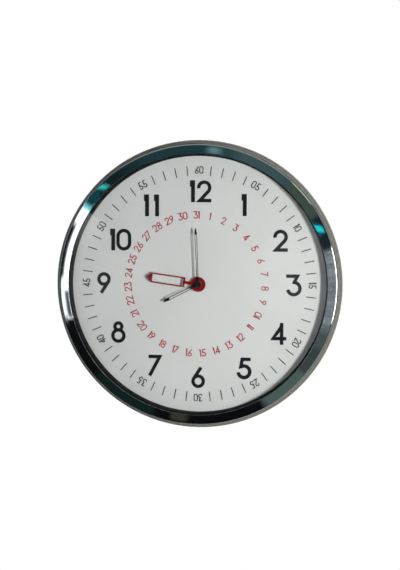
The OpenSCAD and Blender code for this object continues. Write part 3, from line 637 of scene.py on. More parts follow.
class Bench:
    """Geometry Nodes trees that the sub-assemblies share, and the way from a tree to a piece."""

    def __init__(self, dressed: dict[Slot, Material]) -> None:
        """Build the trees.

        Args:
            dressed: material of each slot.
        """
        self.dressed = dressed
        self.turning = self.turning_tree()
        self.circling = self.circling_tree()

    @staticmethod
    def start_tree(name: str, inputs: dict[str, str]) -> tuple[Tree, dict[str, Socket]]:
        """Start a tree with named inputs.

        Args:
            name: name of the tree.
            inputs: kind of each input socket by its name.

        Returns:
            The tree, and its input sockets by name.
        """
        tree = bpy.data.node_groups.new(name, "GeometryNodeTree")
        for label, kind in {"Geometry": "Geometry", **inputs, "Finish": "Material"}.items():
            tree.interface.new_socket(label, in_out="INPUT", socket_type="NodeSocket" + kind)
        tree.interface.new_socket("Geometry", in_out="OUTPUT", socket_type="NodeSocketGeometry")
        group = add_node(tree, "NodeGroupInput")
        return tree, {socket.name: socket for socket in group.outputs if socket.name}

    @staticmethod
    def end_tree(tree: Tree, shape: Node, finish: Socket) -> Tree:
        """End a tree with real geometry and its material.

        Args:
            tree: tree to end.
            shape: node that made the geometry.
            finish: material input.

        Returns:
            The tree.
        """
        real = add_node(tree, "GeometryNodeRealizeInstances", {"Geometry": shape})
        dressed = add_node(tree, "GeometryNodeSetMaterial", {"Geometry": real, "Material": finish})
        add_node(tree, "NodeGroupOutput", {0: dressed})
        return tree

    def turning_tree(self) -> Tree:
        """Sweep a closed profile around the dial's axis, as on a lathe.

        Returns:
            The tree.
        """
        tree, given = self.start_tree("turned_on_axis", {"Path radius": "Float", "Turns": "Int"})
        profile = add_node(tree, "GeometryNodeMeshToCurve", {"Mesh": given["Geometry"]})
        sizes = {"Resolution": given["Turns"], "Radius": given["Path radius"]}
        path = add_node(tree, "GeometryNodeCurvePrimitiveCircle", sizes)
        curves = {"Curve": path, "Profile Curve": profile}
        swept = add_node(tree, "GeometryNodeCurveToMesh", curves)
        return self.end_tree(tree, swept, given["Finish"])

    def circling_tree(self) -> Tree:
        """Set copies of a shape evenly around a circle, each turned to face outwards.

        Returns:
            The tree.
        """
        kinds = {"Count": "Int", "Radius": "Float", "Start": "Float"}
        tree, given = self.start_tree("set_around_circle", kinds)
        sizes = {"Vertices": given["Count"], "Radius": given["Radius"]}
        circle = add_node(tree, "GeometryNodeMeshCircle", sizes)
        step = calc(tree, "DIVIDE", math.tau, given["Count"])
        turn = calc(tree, "MULTIPLY", add_node(tree, "GeometryNodeInputIndex"), step)
        copies = add_node(tree, "GeometryNodeInstanceOnPoints", {
            "Points": circle, "Instance": given["Geometry"],
            "Rotation": add_node(tree, "ShaderNodeCombineXYZ", {"Z": turn}),
        })
        first = add_node(tree, "ShaderNodeCombineXYZ", {"Z": given["Start"]})
        turned = add_node(tree, "GeometryNodeTransform", {"Geometry": copies, "Rotation": first})
        return self.end_tree(tree, turned, given["Finish"])

    def grow(self, seed: Mesh, tree: Tree, slot: Slot, sizes: dict[str, float]) -> Mesh:
        """Grow a plain mesh from a seed by one of the trees.

        Args:
            seed: mesh that the tree starts from.
            tree: Geometry Nodes tree.
            slot: finish of the result.
            sizes: value of each named input.

        Returns:
            The mesh, welded and facing outwards.
        """
        holder = link_object(seed.name, seed)
        modifier = holder.modifiers.new(tree.name, "NODES")
        modifier.node_group = tree
        given = {**sizes, "Finish": self.dressed[slot]}
        for item in tree.interface.items_tree:
            if item.in_out == "INPUT" and item.name in given:
                modifier[item.identifier] = given[item.name]
        mesh = evaluated(holder)
        holder.modifiers.remove(modifier)
        bpy.data.objects.remove(holder)
        shape = bmesh.new()
        shape.from_mesh(mesh)
        bmesh.ops.remove_doubles(shape, verts=shape.verts, dist=WELD)
        bmesh.ops.recalc_face_normals(shape, faces=shape.faces)
        shape.to_mesh(mesh)
        shape.free()
        return mesh

    def turned(self, tag: Tag, profile: Profile, turns: int, path: float = 1.0) -> Mesh:
        """Turn a closed profile about the dial's axis.

        Args:
            tag: piece that it is for.
            profile: corners as radius and height.
            turns: steps around.
            path: radius at which the profile is carried.

        Returns:
            The turned mesh.
        """
        seed = bpy.data.meshes.new(tag.name)
        count = len(profile)
        edges = [(i, (i + 1) % count) for i in range(count)]
        seed.from_pydata([(r - path, -z, 0.0) for r, z in profile], edges, [])
        return self.grow(seed, self.turning, tag.slot, {"Path radius": path, "Turns": turns})

    def around(self, tag: Tag, item: Mesh, ring: Ring) -> Mesh:
        """Set copies of a shape at a ring's places around the dial's axis."""
        sizes = {"Count": ring.count, "Radius": ring.radius, "Start": math.radians(ring.first)}
        return self.grow(item, self.circling, tag.slot, sizes)

    def place(self, tag: Tag, mesh: Mesh, at: Matrix | None = None) -> None:
        """Hang a mesh upright, dress it and let it ride on its body.

        Args:
            tag: the piece.
            mesh: its mesh in millimetres.
            at: its place in the dial frame, if drawn about its own middle.
        """
        body, slot, stands_for = tag.body, tag.slot, tag.stands_for
        mesh.name = tag.name
        mesh.transform(HUNG @ at if at else HUNG)
        mesh.shade_smooth()
        mesh.set_sharp_from_angle(angle=math.radians(tag.sharp))
        mesh.materials.clear()
        mesh.materials.append(self.dressed[slot])
        piece = link_object(tag.name, mesh)
        if stands_for:
            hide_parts(stands_for)
        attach(piece, body.value)
        LOG.info("%s: %d faces on %s", tag.name, len(mesh.polygons), body.value)


@dataclass
class Assembly:
    """A sub-assembly of the clock, built with the trees and finishes of a shared bench.

    Its rings are turned in so many steps, with the profile carried at the radius of the path.
    """

    bench: Bench
    turns: int = 360
    path: float = 100.0

    def turn(self, tag: Tag, profile: Profile, at: Matrix | None = None) -> None:
        """Turn a profile about the dial's axis, and place it as a piece."""
        self.bench.place(tag, self.bench.turned(tag, profile, self.turns, self.path), at)

    def build(self) -> None:
        """Build the pieces."""
        raise NotImplementedError


@dataclass
class Bezel(Assembly):
    """Chromed ring with a sloping face around the glass, and the bosses that the screws hold."""

    inner: float = 135.7
    outer: float = 145.5
    crown: float = 41.0
    face_tilt: float = 6.0
    face_swell: float = 1.2
    face_steps: int = 14
    shoulder: float = 1.2
    shoulder_steps: int = 22
    inner_round: float = 0.15
    inner_steps: int = 8
    wall: float = 1.8
    hem: float = 33.0
    glass_top: float = 39.0
    skirt: Point = (138.3, 140.1)
    skirt_low: float = 27.5
    lip: float = 0.12
    boss_radii: Point = (1.5, 2.65)
    boss_levels: Point = (19.0, 37.0)
    boss_turns: int = 24

    def face(self, start: Point, reach: float) -> Profile:
        """Draw the face, whose slope falls a little from the shoulder to the inner edge.

        Args:
            start: where the shoulder ends.
            reach: width of the face.

        Returns:
            Corners from the outside in.
        """
        points, (x, z), steps = [], start, self.face_steps
        for i in range(steps):
            share = 1.0 - 2.0 * (i + 0.5) / steps
            slope = math.radians(self.face_tilt + self.face_swell * share)
            x, z = x - reach / steps, z + reach / steps * math.tan(slope)
            points.append((x, z))
        return points

    def profile(self) -> Profile:
        """Draw the shell from its hem over the shoulder and the face to the glass and back inside.

        Returns:
            Corners as radius and height.
        """
        steep, mild = self.face_tilt + self.face_swell, self.face_tilt - self.face_swell
        middle_x = self.outer - self.shoulder
        edge_x = middle_x + self.shoulder * math.sin(math.radians(steep))
        edge_z = self.crown - (edge_x - self.inner) * math.tan(math.radians(self.face_tilt))
        middle = (middle_x, edge_z - self.shoulder * math.cos(math.radians(steep)))
        shoulder = arc(middle, self.shoulder, 0.0, 90.0 - steep, self.shoulder_steps)
        face = self.face(shoulder[-1], edge_x - self.inner - self.inner_round)
        low = (face[-1][0], face[-1][1] - self.inner_round)
        bead = arc(low, self.inner_round, 90.0 - mild, 180.0, self.inner_steps)
        inside, under = self.outer - self.wall, edge_z - self.wall
        return [
            (self.outer - self.lip, self.hem), (self.outer, self.hem + self.lip),
            *shoulder, *face, *bead[1:], (self.inner, self.glass_top),
            (self.skirt[0], self.glass_top), (self.skirt[0], self.skirt_low),
            (self.skirt[1], self.skirt_low), (self.skirt[1], under), (inside, under),
            (inside, self.hem),
        ]

    def build(self) -> None:
        """Build the ring in place of its CAD node, and its bosses."""
        self.turn(Tag("bezel_shell", Body.CASE, Slot.CHROME, "bezel"), self.profile())
        bosses = Tag("bezel_bosses", Body.CASE, Slot.CHROME)
        (bore, wall), (low, high) = self.boss_radii, self.boss_levels
        boss = self.bench.turned(bosses, rectangle(bore, low, wall, high), self.boss_turns)
        self.bench.place(bosses, self.bench.around(bosses, boss, RIM_SCREWS))


@dataclass
class Glazing(Assembly):
    """Black stepped wall between the dial and the glass."""

    glass_low: float = 37.0
    outer: float = 138.0
    turns: int = 300
    steps: Outline = (
        (133.5, DIAL_Z), (133.5, 28.7), (133.9, 29.0), (133.9, 32.3), (134.4, 32.7),
        (134.4, 35.2), (135.1, 35.7), (135.4, 37.0),
    )

    def build(self) -> None:
        """Build the stepped wall in place of the plain one."""
        profile = [*self.steps, (self.outer, self.glass_low), (self.outer, DIAL_Z)]
        self.turn(Tag("spacer_wall", Body.CASE, Slot.TRIM, "spacer_ring"), profile)


@dataclass
class Back(Assembly):
    """Stiffening ribs on the back panel, and the screws in their wells."""

    panel: float = 3.1
    crest: float = 1.7
    rib_width: float = 1.4
    rib_round: float = 0.4
    rib_reach: Point = (58.0, 126.0)
    turns: int = 240
    path: float = 90.0
    spoke_chamfer: float = 0.35
    spokes: Ring = Ring(12, 92.0, 15.0)
    head: float = 2.8
    head_low: float = 15.0
    head_high: float = 17.0
    head_edge: Outline = ((1.2, 0.0), (0.4, 0.35), (0.0, 1.1))
    shank: float = 1.45
    tip: float = 28.0
    tip_taper: Point = (0.7, 0.8)
    recess_width: float = 0.75
    recess_length: float = 3.2
    recess_depth: float = 1.0
    cutter_excess: float = 1.0
    screw_turns: int = 40

    def rib_profile(self, radius: float) -> Profile:
        """Draw a rib with a rounded crest.

        Args:
            radius: its distance from the axis.

        Returns:
            Corners as radius and height.
        """
        low, high = radius - self.rib_width / 2, radius + self.rib_width / 2
        soft, side = self.rib_round, self.crest + self.rib_round
        return [(low, self.panel), (low, side), (low + soft, self.crest), (high - soft, self.crest),
                (high, side), (high, self.panel)]

    def ribs(self) -> None:
        """Build two rib rings, and the spokes between them."""
        tag = Tag("panel_ribs", Body.CASE, Slot.CASE)
        inner, outer = self.rib_reach
        half, reach = self.rib_width / 2, (outer - inner) / 2
        bar = rectangle(-reach, -half, reach, half)
        spoke = prism("spoke", bar, self.panel, self.crest, self.spoke_chamfer)
        parts = [self.bench.around(tag, spoke, self.spokes)]
        parts += [self.bench.turned(tag, self.rib_profile(r), self.turns, self.path)
                  for r in self.rib_reach]
        self.bench.place(tag, joined(tag.name, parts))

    def screws(self) -> None:
        """Build the pan-head screws with their cross recesses in place of the plain ones."""
        tag = Tag("pan_head_screws", Body.CASE, Slot.STEEL, "case_screws")
        low, tip = self.head_low, self.tip
        profile = [
            (0.0, low), *((self.head - inset, low + rise) for inset, rise in self.head_edge),
            (self.head, self.head_high), (self.shank, self.head_high),
            (self.shank, tip - self.tip_taper[1]), (self.shank - self.tip_taper[0], tip),
            (0.0, tip),
        ]
        outline = cross(self.recess_width / 2, self.recess_length / 2)
        start, floor = low - self.cutter_excess, low + self.recess_depth
        cutter = link_object("cross", prism("cross", outline, start, floor))
        body = link_object("screw", self.bench.turned(tag, profile, self.screw_turns))
        cut = body.modifiers.new("cross", "BOOLEAN")
        cut.object, cut.operation, cut.solver = cutter, "DIFFERENCE", "EXACT"
        recessed = evaluated(body)
        for thing in (cutter, body):
            bpy.data.objects.remove(thing)
        self.bench.place(tag, self.bench.around(tag, recessed, RIM_SCREWS))

    def build(self) -> None:
        """Build the ribs and the screws."""
        self.ribs()
        self.screws()


@dataclass
class HandNut(Assembly):
    """Domed black nut over the hands, around the grey end of the arbor."""

    bore: float = 1.15
    bore_chamfer: float = 0.3
    radius: float = 3.0
    dome: float = 1.1
    low: float = 33.6
    high: float = 35.4
    dome_steps: int = 8
    turns: int = 64
    path: float = 2.0

    def build(self) -> None:
        """Build the nut in place of the plain one."""
        bore, high, cut = self.bore, self.high, self.bore_chamfer
        middle = (self.radius - self.dome, high - self.dome)
        dome = arc(middle, self.dome, 0.0, 90.0, self.dome_steps)
        profile = [(bore, self.low), (self.radius, self.low), *dome, (bore + cut, high),
                   (bore, high - cut)]
        self.turn(Tag("domed_hand_nut", Body.MINUTE, Slot.BLACK_HAND, "hand_nut"), profile)


@dataclass
class MovementBack(Assembly):
    """Moulded details on the back of the movement."""

    back: float = 8.5
    relief: float = 0.3
    root: float = 0.2
    half_width: float = 28.0
    top: float = 28.0
    bay_top: float = -13.4
    corner: float = 3.0
    corner_steps: int = 8
    border_margins: Point = (0.5, 1.4)
    time_knob: Point = (20.303, 6.4015)
    date_knob: Point = (-11.3002, -7.06117)
    time_sweep: Point = (200.0, 100.0)
    date_sweep: Point = (150.0, 50.0)
    arrow_radius: float = 6.6
    arrow_width: float = 0.9
    arrow_head: float = 18.0
    arrow_barb: float = 2.2
    arrow_chamfer: float = 0.12
    arrow_steps: int = 14
    sign: float = 3.2
    stroke: float = 0.8
    sign_chamfer: float = 0.1
    sign_inset: Point = (5.0, 3.6)
    lug: Outline = ((0.0, -2.4), (0.7, -2.1), (0.7, 2.1), (0.0, 2.4))
    lug_inset: float = 0.05
    lug_heights: Point = (-2.0, 18.0)
    lug_levels: Point = (1.4, 4.2)
    lug_chamfer: float = 0.3

    def outline(self, margin: float) -> Profile:
        """Draw the cover's outline, with round upper corners.

        Args:
            margin: distance inwards.

        Returns:
            Corners counter-clockwise.
        """
        half, top, low = self.half_width - margin, self.top - margin, self.bay_top + margin
        r, steps = self.corner - margin / 2, self.corner_steps
        return [(-half, low), (half, low), *arc((half - r, top - r), r, 0.0, 90.0, steps),
                *arc((-half + r, top - r), r, 90.0, 180.0, steps)]

    def raised(self, name: str, outline: Profile, chamfer: float) -> Mesh:
        """Raise a mark with an outline on the cover."""
        return prism(name, outline, self.back + self.root, self.back - self.relief, chamfer)

    def border(self) -> Mesh:
        """Build the raised border that runs around the cover.

        Returns:
            The mesh.
        """
        outer, inner = (self.outline(margin) for margin in self.border_margins)
        low, high = self.back + self.root, self.back - self.relief
        loops = ((outer, low), (outer, high), (inner, high), (inner, low))
        shape = bmesh.new()
        rows = [[shape.verts.new((x, y, z)) for x, y in loop] for loop, z in loops]
        for this, after in zip(rows, rows[1:] + rows[:1]):
            for i in range(len(this)):
                j = (i + 1) % len(this)
                shape.faces.new((this[i], this[j], after[j], after[i]))
        bmesh.ops.recalc_face_normals(shape, faces=shape.faces)
        return settled("cover_border", shape)

    def arrow(self, centre: Point, sweep: Point) -> Mesh:
        """Build a raised curved arrow beside a setting knob.

        Args:
            centre: axis of the knob.
            sweep: angles of its tail and of its head's start in degrees.

        Returns:
            The mesh.
        """
        (start, end), radius, half = sweep, self.arrow_radius, self.arrow_width / 2
        way = math.copysign(1.0, end - start)
        barb = self.arrow_barb * half
        head = [polar(radius + barb, end), polar(radius, end + way * self.arrow_head),
                polar(radius - barb, end)]
        loop = [*arc(centre, radius + half, start, end, self.arrow_steps), *moved(head, centre),
                *arc(centre, radius - half, end, start, self.arrow_steps)]
        return self.raised("arrow", loop if way > 0 else loop[::-1], self.arrow_chamfer)

    def signs(self) -> list[Mesh]:
        """Build the raised plus and minus signs above the ends of the cell.

        Returns:
            The two meshes.
        """
        half, reach = self.stroke / 2, self.sign / 2
        x, y = self.half_width - self.sign_inset[0], self.bay_top + self.sign_inset[1]
        plus, minus = cross(half, reach), rectangle(-reach, -half, reach, half)
        loops = moved(plus, (x, y)), moved(minus, (-x, y))
        return [self.raised("sign", loop, self.sign_chamfer) for loop in loops]

    def lugs(self) -> list[Mesh]:
        """Build the snap lugs on both sides of the movement's case.

        Returns:
            One mesh for each lug.
        """
        parts = []
        low, high = (self.back + level for level in self.lug_levels)
        for side in (-1.0, 1.0):
            for y in self.lug_heights:
                spot = (side * (self.half_width - self.lug_inset), y)
                loop = moved([(side * px, py) for px, py in self.lug], spot)
                loop = loop if side > 0 else loop[::-1]
                parts.append(prism("lug", loop, low, high, self.lug_chamfer))
        return parts

    def build(self) -> None:
        """Build the raised marks and the lugs."""
        marks = [self.border(), self.arrow(self.time_knob, self.time_sweep),
                 self.arrow(self.date_knob, self.date_sweep), *self.signs()]
        for name, parts in (("cover_marks", marks), ("case_lugs", self.lugs())):
            tag = Tag(name, Body.CASE, Slot.BLACK_PLASTIC, sharp=25.0)
            self.bench.place(tag, joined(name, parts))


@dataclass
class Cell(Assembly):
    """Plain AA cell in the movement's bay."""

    length: float = 50.4
    radius: float = 7.1
    can: float = 49.2
    nub: float = 2.7
    nub_round: float = 0.45
    heel: float = 0.7
    shoulder: float = 0.9
    film_foot: Outline = ((-1.6, 0.1), (-1.2, 0.0))
    film_top: Outline = ((-1.9, 0.0), (-1.9, -0.5), (-1.3, -0.6))
    film_inside: Outline = ((-1.3, 0.6), (-1.6, 0.5))
    can_foot: Outline = ((0.0, 0.25), (4.6, 0.25), (4.9, 0.1))
    can_edge: Outline = ((-1.35, -0.7), (-2.0, -0.35))
    can_side: Point = (-1.35, 0.3)
    nub_foot: Outline = ((0.5, -0.35), (0.0, 0.0))
    steps: tuple[int, int, int] = (6, 8, 5)
    turns: int = 72
    path: float = 4.0
    bay_middle: float = -20.95
    height: float = 15.6

    def build(self) -> None:
        """Build the jacket in place of the plain cell, and the steel at both ends."""
        r, end, heel, shoulder = self.radius, self.can, self.heel, self.shoulder
        heel_steps, shoulder_steps, nub_steps = self.steps
        film = [
            *moved(self.film_foot, (r, 0.0)), *arc((r - heel, heel), heel, -90.0, 0.0, heel_steps),
            *arc((r - shoulder, end - shoulder), shoulder, 0.0, 90.0, shoulder_steps),
            *moved(self.film_top, (r, end)), *moved(self.film_inside, (r, 0.0)),
        ]
        top = (self.nub - self.nub_round, self.length - self.nub_round)
        can = [
            *self.can_foot, *moved([self.can_side], (r, 0.0)), *moved(self.can_edge, (r, end)),
            *moved(self.nub_foot, (self.nub, end)),
            *arc(top, self.nub_round, 0.0, 90.0, nub_steps), (0.0, self.length),
        ]
        middle = (-self.length / 2, self.bay_middle, self.height)
        lying = Matrix.Translation(middle) @ Matrix.Rotation(math.pi / 2, 4, "Y")
        jacket = Tag("cell_film", Body.CELL, Slot.CELL, "battery")
        for tag, profile in ((jacket, film), (Tag("cell_can", Body.CELL, Slot.STEEL), can)):
            self.turn(tag, profile, lying)


DIAL_MIDDLE = Vector((0.0, -DIAL_Z * MM, -HANG_DROP * MM))


def outwards(azimuth: float, elevation: float) -> Vector:
    """Find the unit vector from the dial at two angles in degrees."""
    a, e = math.radians(azimuth), math.radians(elevation)
    return Vector((math.sin(a) * math.cos(e), -math.cos(a) * math.cos(e), math.sin(e)))


def facing(azimuth: float, elevation: float, distance: float) -> Matrix:
    """Place something so that it looks at the middle of the dial.

    Args:
        azimuth: degrees to the right of the dial's axis.
        elevation: degrees above level.
        distance: distance from the dial in metres.

    Returns:
        Its matrix in the world.
    """
    out = outwards(azimuth, elevation)
    turn = out.to_track_quat("Z", "Y").to_matrix().to_4x4()
    return Matrix.Translation(DIAL_MIDDLE + out * distance) @ turn


@dataclass(frozen=True)
class Lamp:
    """One soft rectangular lamp, by its direction in degrees and its distance from the dial."""

    name: str
    azimuth: float
    elevation: float
    distance: float
    width: float
    height: float
    watts: float
    colour: str = "#ffffff"

    def hang(self) -> None:
        """Add the lamp, which no camera, mirror or glass shows."""
        data = bpy.data.lights.new(self.name, "AREA")
        data.shape, data.size, data.size_y = "RECTANGLE", self.width, self.height
        data.energy, data.color = self.watts, linear(self.colour)[:3]
        lamp = link_object(self.name, data)
        lamp.matrix_world = facing(self.azimuth, self.elevation, self.distance)
        lamp.visible_camera = lamp.visible_glossy = lamp.visible_transmission = False
        LOG.info("%s: %.1f W", self.name, self.watts)


@dataclass(frozen=True)
class PaintedReflectionField:
    """A painted reflection: a bright or dark field around the clock, glowing though it is no lamp,
    that its chrome and glass mirror.

    It lies between two clock angles, and between two angles away from where the flat glass
    mirrors the camera, all in degrees. Its edges are soft over as many degrees, streaks thin it
    out by its mottle, and it leans along the clock. At level one the chrome shows its colour.
    """

    colour: str
    clock: Point
    away: Point
    soft: float = 2.0
    soft_away: float = 3.0
    level: float = 1.0
    mottle: float = 0.0
    lean: float = 0.0

    def mask(self, clock: np.ndarray, away: np.ndarray, streaks: np.ndarray) -> np.ndarray:
        """Work out the field's share in each direction.

        Args:
            clock: clock angles in degrees.
            away: angles away in degrees.
            streaks: fine pattern from zero to one.

        Returns:
            Values from zero to one.
        """
        share = 1.0 - self.mottle * streaks
        clock = clock - self.lean * (away - sum(self.away) / 2)
        for angles, (low, high), cycle, soft in (
            (clock, self.clock, FULL_TURN, self.soft), (away, self.away, NO_CYCLE, self.soft_away)
        ):
            apart = np.abs((angles - (low + high) / 2 + cycle / 2) % cycle - cycle / 2)
            edge = np.clip(((high - low) / 2 - apart) / soft + 0.5, 0.0, 1.0)
            share = share * edge * edge * (3.0 - 2.0 * edge)
        return share


@dataclass(frozen=True)
class PaintedReflectionShell:
    """Painted reflections: a wide shell of surroundings that glows, though it is no lamp, and that
    only mirror-like surfaces show.

    The bezel's sloping face mirrors what lies about 14 to 19 degrees away, its shoulder the rest.
    """

    radius: float = 20.0
    pole: Point = (-8.0, -3.6)
    clock_steps: int = 540
    away_steps: int = 170
    first_away: float = 0.002
    last_away: float = 179.8
    crowding: float = 1.8
    seed: int = 7
    streak: float = 0.6
    # Painted reflection of dark teal surroundings, wherever no field lies
    base: str = "#131f21"
    # Painted reflections: the bright fields are painted highlights of lamps and windows in the
    # chrome, the dark ones painted dark surroundings, the cyan ones painted glints, and the last
    # two painted reflections in the glass
    fields: tuple[PaintedReflectionField, ...] = (
        PaintedReflectionField("#b9bdbf", (0.0, 360.0), (110.0, 200.0), soft_away=30.0),
        PaintedReflectionField("#747b78", (322.0, 400.0), (23.0, 110.0), 16.0, 5.0),
        PaintedReflectionField("#55605c", (120.0, 152.0), (22.0, 110.0), 6.0, 6.0),
        PaintedReflectionField("#0b0c0e", (152.0, 254.0), (0.0, 110.0), 1.5, 6.0),
        PaintedReflectionField("#1f3639", (330.0, 402.0), (5.0, 26.0), 20.0),
        PaintedReflectionField("#3a4e50", (14.0, 44.0), (5.0, 26.0), 14.0),
        PaintedReflectionField("#5e8083", (4.0, 9.0), (14.5, 18.5), 5.0, 3.5),
        PaintedReflectionField("#3d4a42", (42.0, 60.0), (5.0, 24.0), 1.0, 6.0),
        PaintedReflectionField("#d8d2b0", (42.0, 54.0), (26.0, 60.0), 2.0, 4.0, 1.6),
        PaintedReflectionField("#1a242a", (61.0, 75.0), (5.0, 70.0), 1.0),
        PaintedReflectionField("#22dde6", (63.2, 65.9), (11.0, 18.4), 1.0, 2.0, lean=0.4),
        PaintedReflectionField("#949da0", (75.0, 118.0), (5.0, 24.0), 2.0, 4.0, mottle=0.8),
        PaintedReflectionField("#3c4443", (109.0, 131.0), (5.0, 30.0), 8.0, 6.0, mottle=0.3),
        PaintedReflectionField("#ffffff", (75.0, 107.0), (38.0, 75.0), 2.5, 4.0, 7.0),
        PaintedReflectionField("#4a5a54", (130.0, 151.5), (5.0, 26.0), 3.0),
        PaintedReflectionField("#37352b", (185.5, 192.5), (5.0, 18.5), 2.0, 2.0),
        PaintedReflectionField("#12201d", (200.0, 228.0), (5.0, 30.0), 3.0),
        PaintedReflectionField("#fdfefe", (254.5, 303.0), (4.0, 17.3), 0.8, 1.2, 1.3),
        PaintedReflectionField("#1c2022", (254.5, 303.0), (17.3, 110.0), 0.8, 1.2, mottle=0.1),
        PaintedReflectionField("#fdfefe", (257.0, 273.0), (15.0, 18.9), 4.0, 1.0, 1.3, lean=-1.2),
        PaintedReflectionField("#fdfefe", (295.0, 303.0), (15.0, 50.0), 4.0, 6.0, 1.3),
        PaintedReflectionField("#2a2f34", (255.0, 266.5), (4.0, 16.6), 2.0, 1.6, mottle=0.06),
        PaintedReflectionField("#3ecbcf", (302.6, 304.4), (5.0, 30.0), 1.2),
        PaintedReflectionField("#0b3a42", (305.0, 311.5), (5.0, 26.0), 1.0),
        PaintedReflectionField("#3ab5b2", (311.3, 313.6), (15.0, 26.0), 1.4, 2.0, lean=-0.6),
        PaintedReflectionField("#dfe3e4", (60.0, 110.0), (1.6, 5.0), 20.0, 0.8, 0.7 * CHROME_LIGHT),
        PaintedReflectionField("#dfe3e4", (255.0, 290.0), (1.6, 5.0), 20.0, 0.8, 0.4 * CHROME_LIGHT),
    )

    def colours(self, clock: np.ndarray, away: np.ndarray) -> np.ndarray:
        """Lay the painted reflection fields over each other in their order.

        Args:
            clock: clock angles in degrees.
            away: angles away in degrees.

        Returns:
            Linear light in each direction.
        """
        draw = np.random.default_rng(self.seed)
        rows = np.repeat(draw.random((self.clock_steps, 1)), self.away_steps, axis=1)
        streaks = rows * self.streak + draw.random(clock.shape) * (1.0 - self.streak)
        colour = np.empty((*clock.shape, 4))
        colour[...] = np.array(linear(self.base)) / CHROME_LIGHT
        for each in self.fields:
            share = each.mask(clock, away, streaks)[..., None]
            light = np.array(linear(each.colour)) * each.level / CHROME_LIGHT
            colour = colour * (1.0 - share) + light * share
        return colour

    def spots(self, clock: np.ndarray, away: np.ndarray) -> np.ndarray:
        """Place the shell's corners around its pole.

        Args:
            clock: clock angles in degrees.
            away: angles away in degrees.

        Returns:
            Corners in metres.
        """
        ahead = outwards(*self.pole)
        above = (Vector((0.0, 0.0, 1.0)) - ahead * ahead.z).normalized()
        right = above.cross(ahead)
        turn, tilt = np.radians(clock)[..., None], np.radians(away)[..., None]
        side = np.array(right) * np.sin(turn) + np.array(above) * np.cos(turn)
        ways = np.array(ahead) * np.cos(tilt) + side * np.sin(tilt)
        return ways * self.radius + np.array(DIAL_MIDDLE)

    def build(self) -> None:
        """Build the glowing shell with its painted reflection colours held at its corners."""
        steps, row = self.clock_steps, self.away_steps
        turns = np.arange(steps) * FULL_TURN / steps
        tilts = self.last_away * np.linspace(self.first_away, 1.0, row) ** self.crowding
        clock, away = np.meshgrid(turns, tilts, indexing="ij")
        pairs = ((i * row, (i + 1) % steps * row) for i in range(steps))
        faces = [(a + j, b + j, b + j + 1, a + j + 1) for a, b in pairs for j in range(row - 1)]
        mesh = bpy.data.meshes.new("room")
        mesh.from_pydata(self.spots(clock, away).reshape(-1, 3).tolist(), [], faces)
        held = mesh.color_attributes.new("light", "FLOAT_COLOR", "POINT")
        held.data.foreach_set("color", self.colours(clock, away).astype(np.float32).ravel())
        material, tree, shader = start_material("room_light", {})
        tree.nodes.remove(shader)
        tone = add_node(tree, "ShaderNodeAttribute", attribute_name="light")
        glow = add_node(tree, "ShaderNodeEmission", {"Color": tone, "Strength": 1.0})
        tree.links.new(glow.outputs[0], tree.nodes["Material Output"].inputs["Surface"])
        mesh.materials.append(material)
        shell = link_object("room", mesh)
        # Only mirror-like rays see the shell, so it paints reflections and lights nothing
        for ray in ("camera", "diffuse", "transmission", "shadow", "volume_scatter"):
            setattr(shell, "visible_" + ray, False)


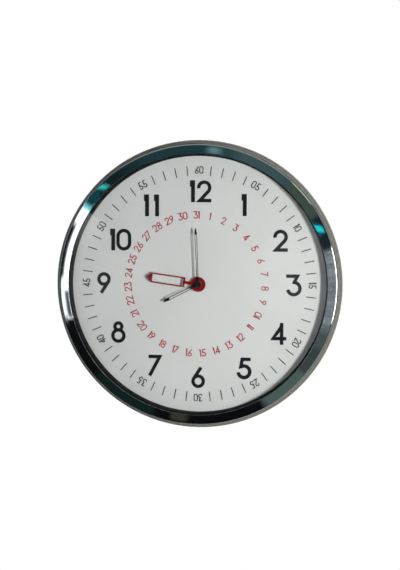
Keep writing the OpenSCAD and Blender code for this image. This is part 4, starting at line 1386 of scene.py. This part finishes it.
@dataclass(frozen=True)
class Studio:
    """Camera, lamps, floor, background and a shell of painted reflections."""

    azimuth: float = 8.0
    elevation: float = 3.6
    roll: float = 0.25
    distance: float = 1.859
    lens: float = 112.5
    shift: Point = (0.00235, -0.00147)
    floor: tuple[float, float, float, float] = (-1.3, -1.5, 1.3, 0.8)
    floor_z: float = -0.9
    plaster: Finish = Finish(
        "pale_matt_plaster", "#e9e9e7", "#e2e2df", 0.9, grains=(Grain(6.0, shade=0.5, depth=0.05),)
    )
    fill: float = 0.02
    lamps: tuple[Lamp, ...] = (
        Lamp("key_right", 38.0, -3.0, 1.0, 0.12, 0.23, 10.15, "#fffdf9"),
        Lamp("second_left", -27.0, 0.0, 2.2, 0.35, 0.6, 4.4, "#f4f8ff"),
        Lamp("rear_right", 140.0, 35.0, 2.0, 1.2, 1.2, 52.0),
        Lamp("rear_left", -145.0, 20.0, 2.0, 1.2, 1.2, 38.0),
    )

    def set_camera(self) -> None:
        """Set the camera at the photograph's viewing angle."""
        data = bpy.data.cameras.new("camera")
        data.lens, (data.shift_x, data.shift_y) = self.lens, self.shift
        view = link_object("camera", data)
        roll = Matrix.Rotation(math.radians(self.roll), 4, "Z")
        view.matrix_world = facing(self.azimuth, self.elevation, self.distance) @ roll
        bpy.context.scene.camera = view

    def lay_floor(self) -> None:
        """Lay a plain pale floor below the clock, outside the photograph's frame."""
        mesh = bpy.data.meshes.new("floor")
        corners = [(x, y, self.floor_z) for x, y in rectangle(*self.floor)]
        mesh.from_pydata(corners, [], [(0, 1, 2, 3)])
        mesh.materials.append(self.plaster.make())
        slab = link_object("floor", mesh)
        slab.visible_glossy = False

    def light_background(self) -> None:
        """Show plain white behind the clock, and light its shaded sides faintly.

        A ray that went sharply through the glass counts as glossy too, so only glossy rays that
        are not transmitted count as mirrored, and transmitted ones count before any bounce.
        """
        world = bpy.data.worlds.new("white_studio")
        world.use_nodes = True
        tree = world.node_tree
        rays = add_node(tree, "ShaderNodeLightPath").outputs
        passed = rays["Is Transmission Ray"]
        mirrored = calc(tree, "GREATER_THAN", rays["Is Glossy Ray"], passed)
        bounced = calc(tree, "ADD", rays["Diffuse Depth"], rays["Glossy Depth"])
        direct = calc(tree, "LESS_THAN", bounced, UNDER_ONE)
        through = calc(tree, "MULTIPLY", passed, direct)
        seen = calc(tree, "MAXIMUM", rays["Is Camera Ray"], mirrored)
        seen = calc(tree, "MAXIMUM", seen, through)
        strength = {"Value": seen, "To Min": self.fill, "To Max": 1.0}
        level = add_node(tree, "ShaderNodeMapRange", strength)
        ground = tree.nodes["Background"]
        ground.inputs["Color"].default_value = linear("#ffffff")
        tree.links.new(level.outputs[0], ground.inputs["Strength"])
        bpy.context.scene.world = world

    def build(self) -> None:
        """Set up the studio."""
        self.set_camera()
        self.lay_floor()
        self.light_background()
        # Painted reflections: a glowing shell that only the chrome and glass mirror
        PaintedReflectionShell().build()
        for lamp in self.lamps:
            lamp.hang()
        bpy.context.scene.view_settings.view_transform = "Standard"


def main() -> None:
    """Dress the frame, build each sub-assembly and set up the studio."""
    logging.basicConfig(level=logging.INFO, format="%(name)s: %(message)s")
    bench = Bench(dress_frame())
    for assembly in (Bezel, Glazing, Back, HandNut, MovementBack, Cell):
        assembly(bench).build()
        LOG.info("%s done", assembly.__name__)
    Studio().build()


if __name__ == "__main__":
    main()
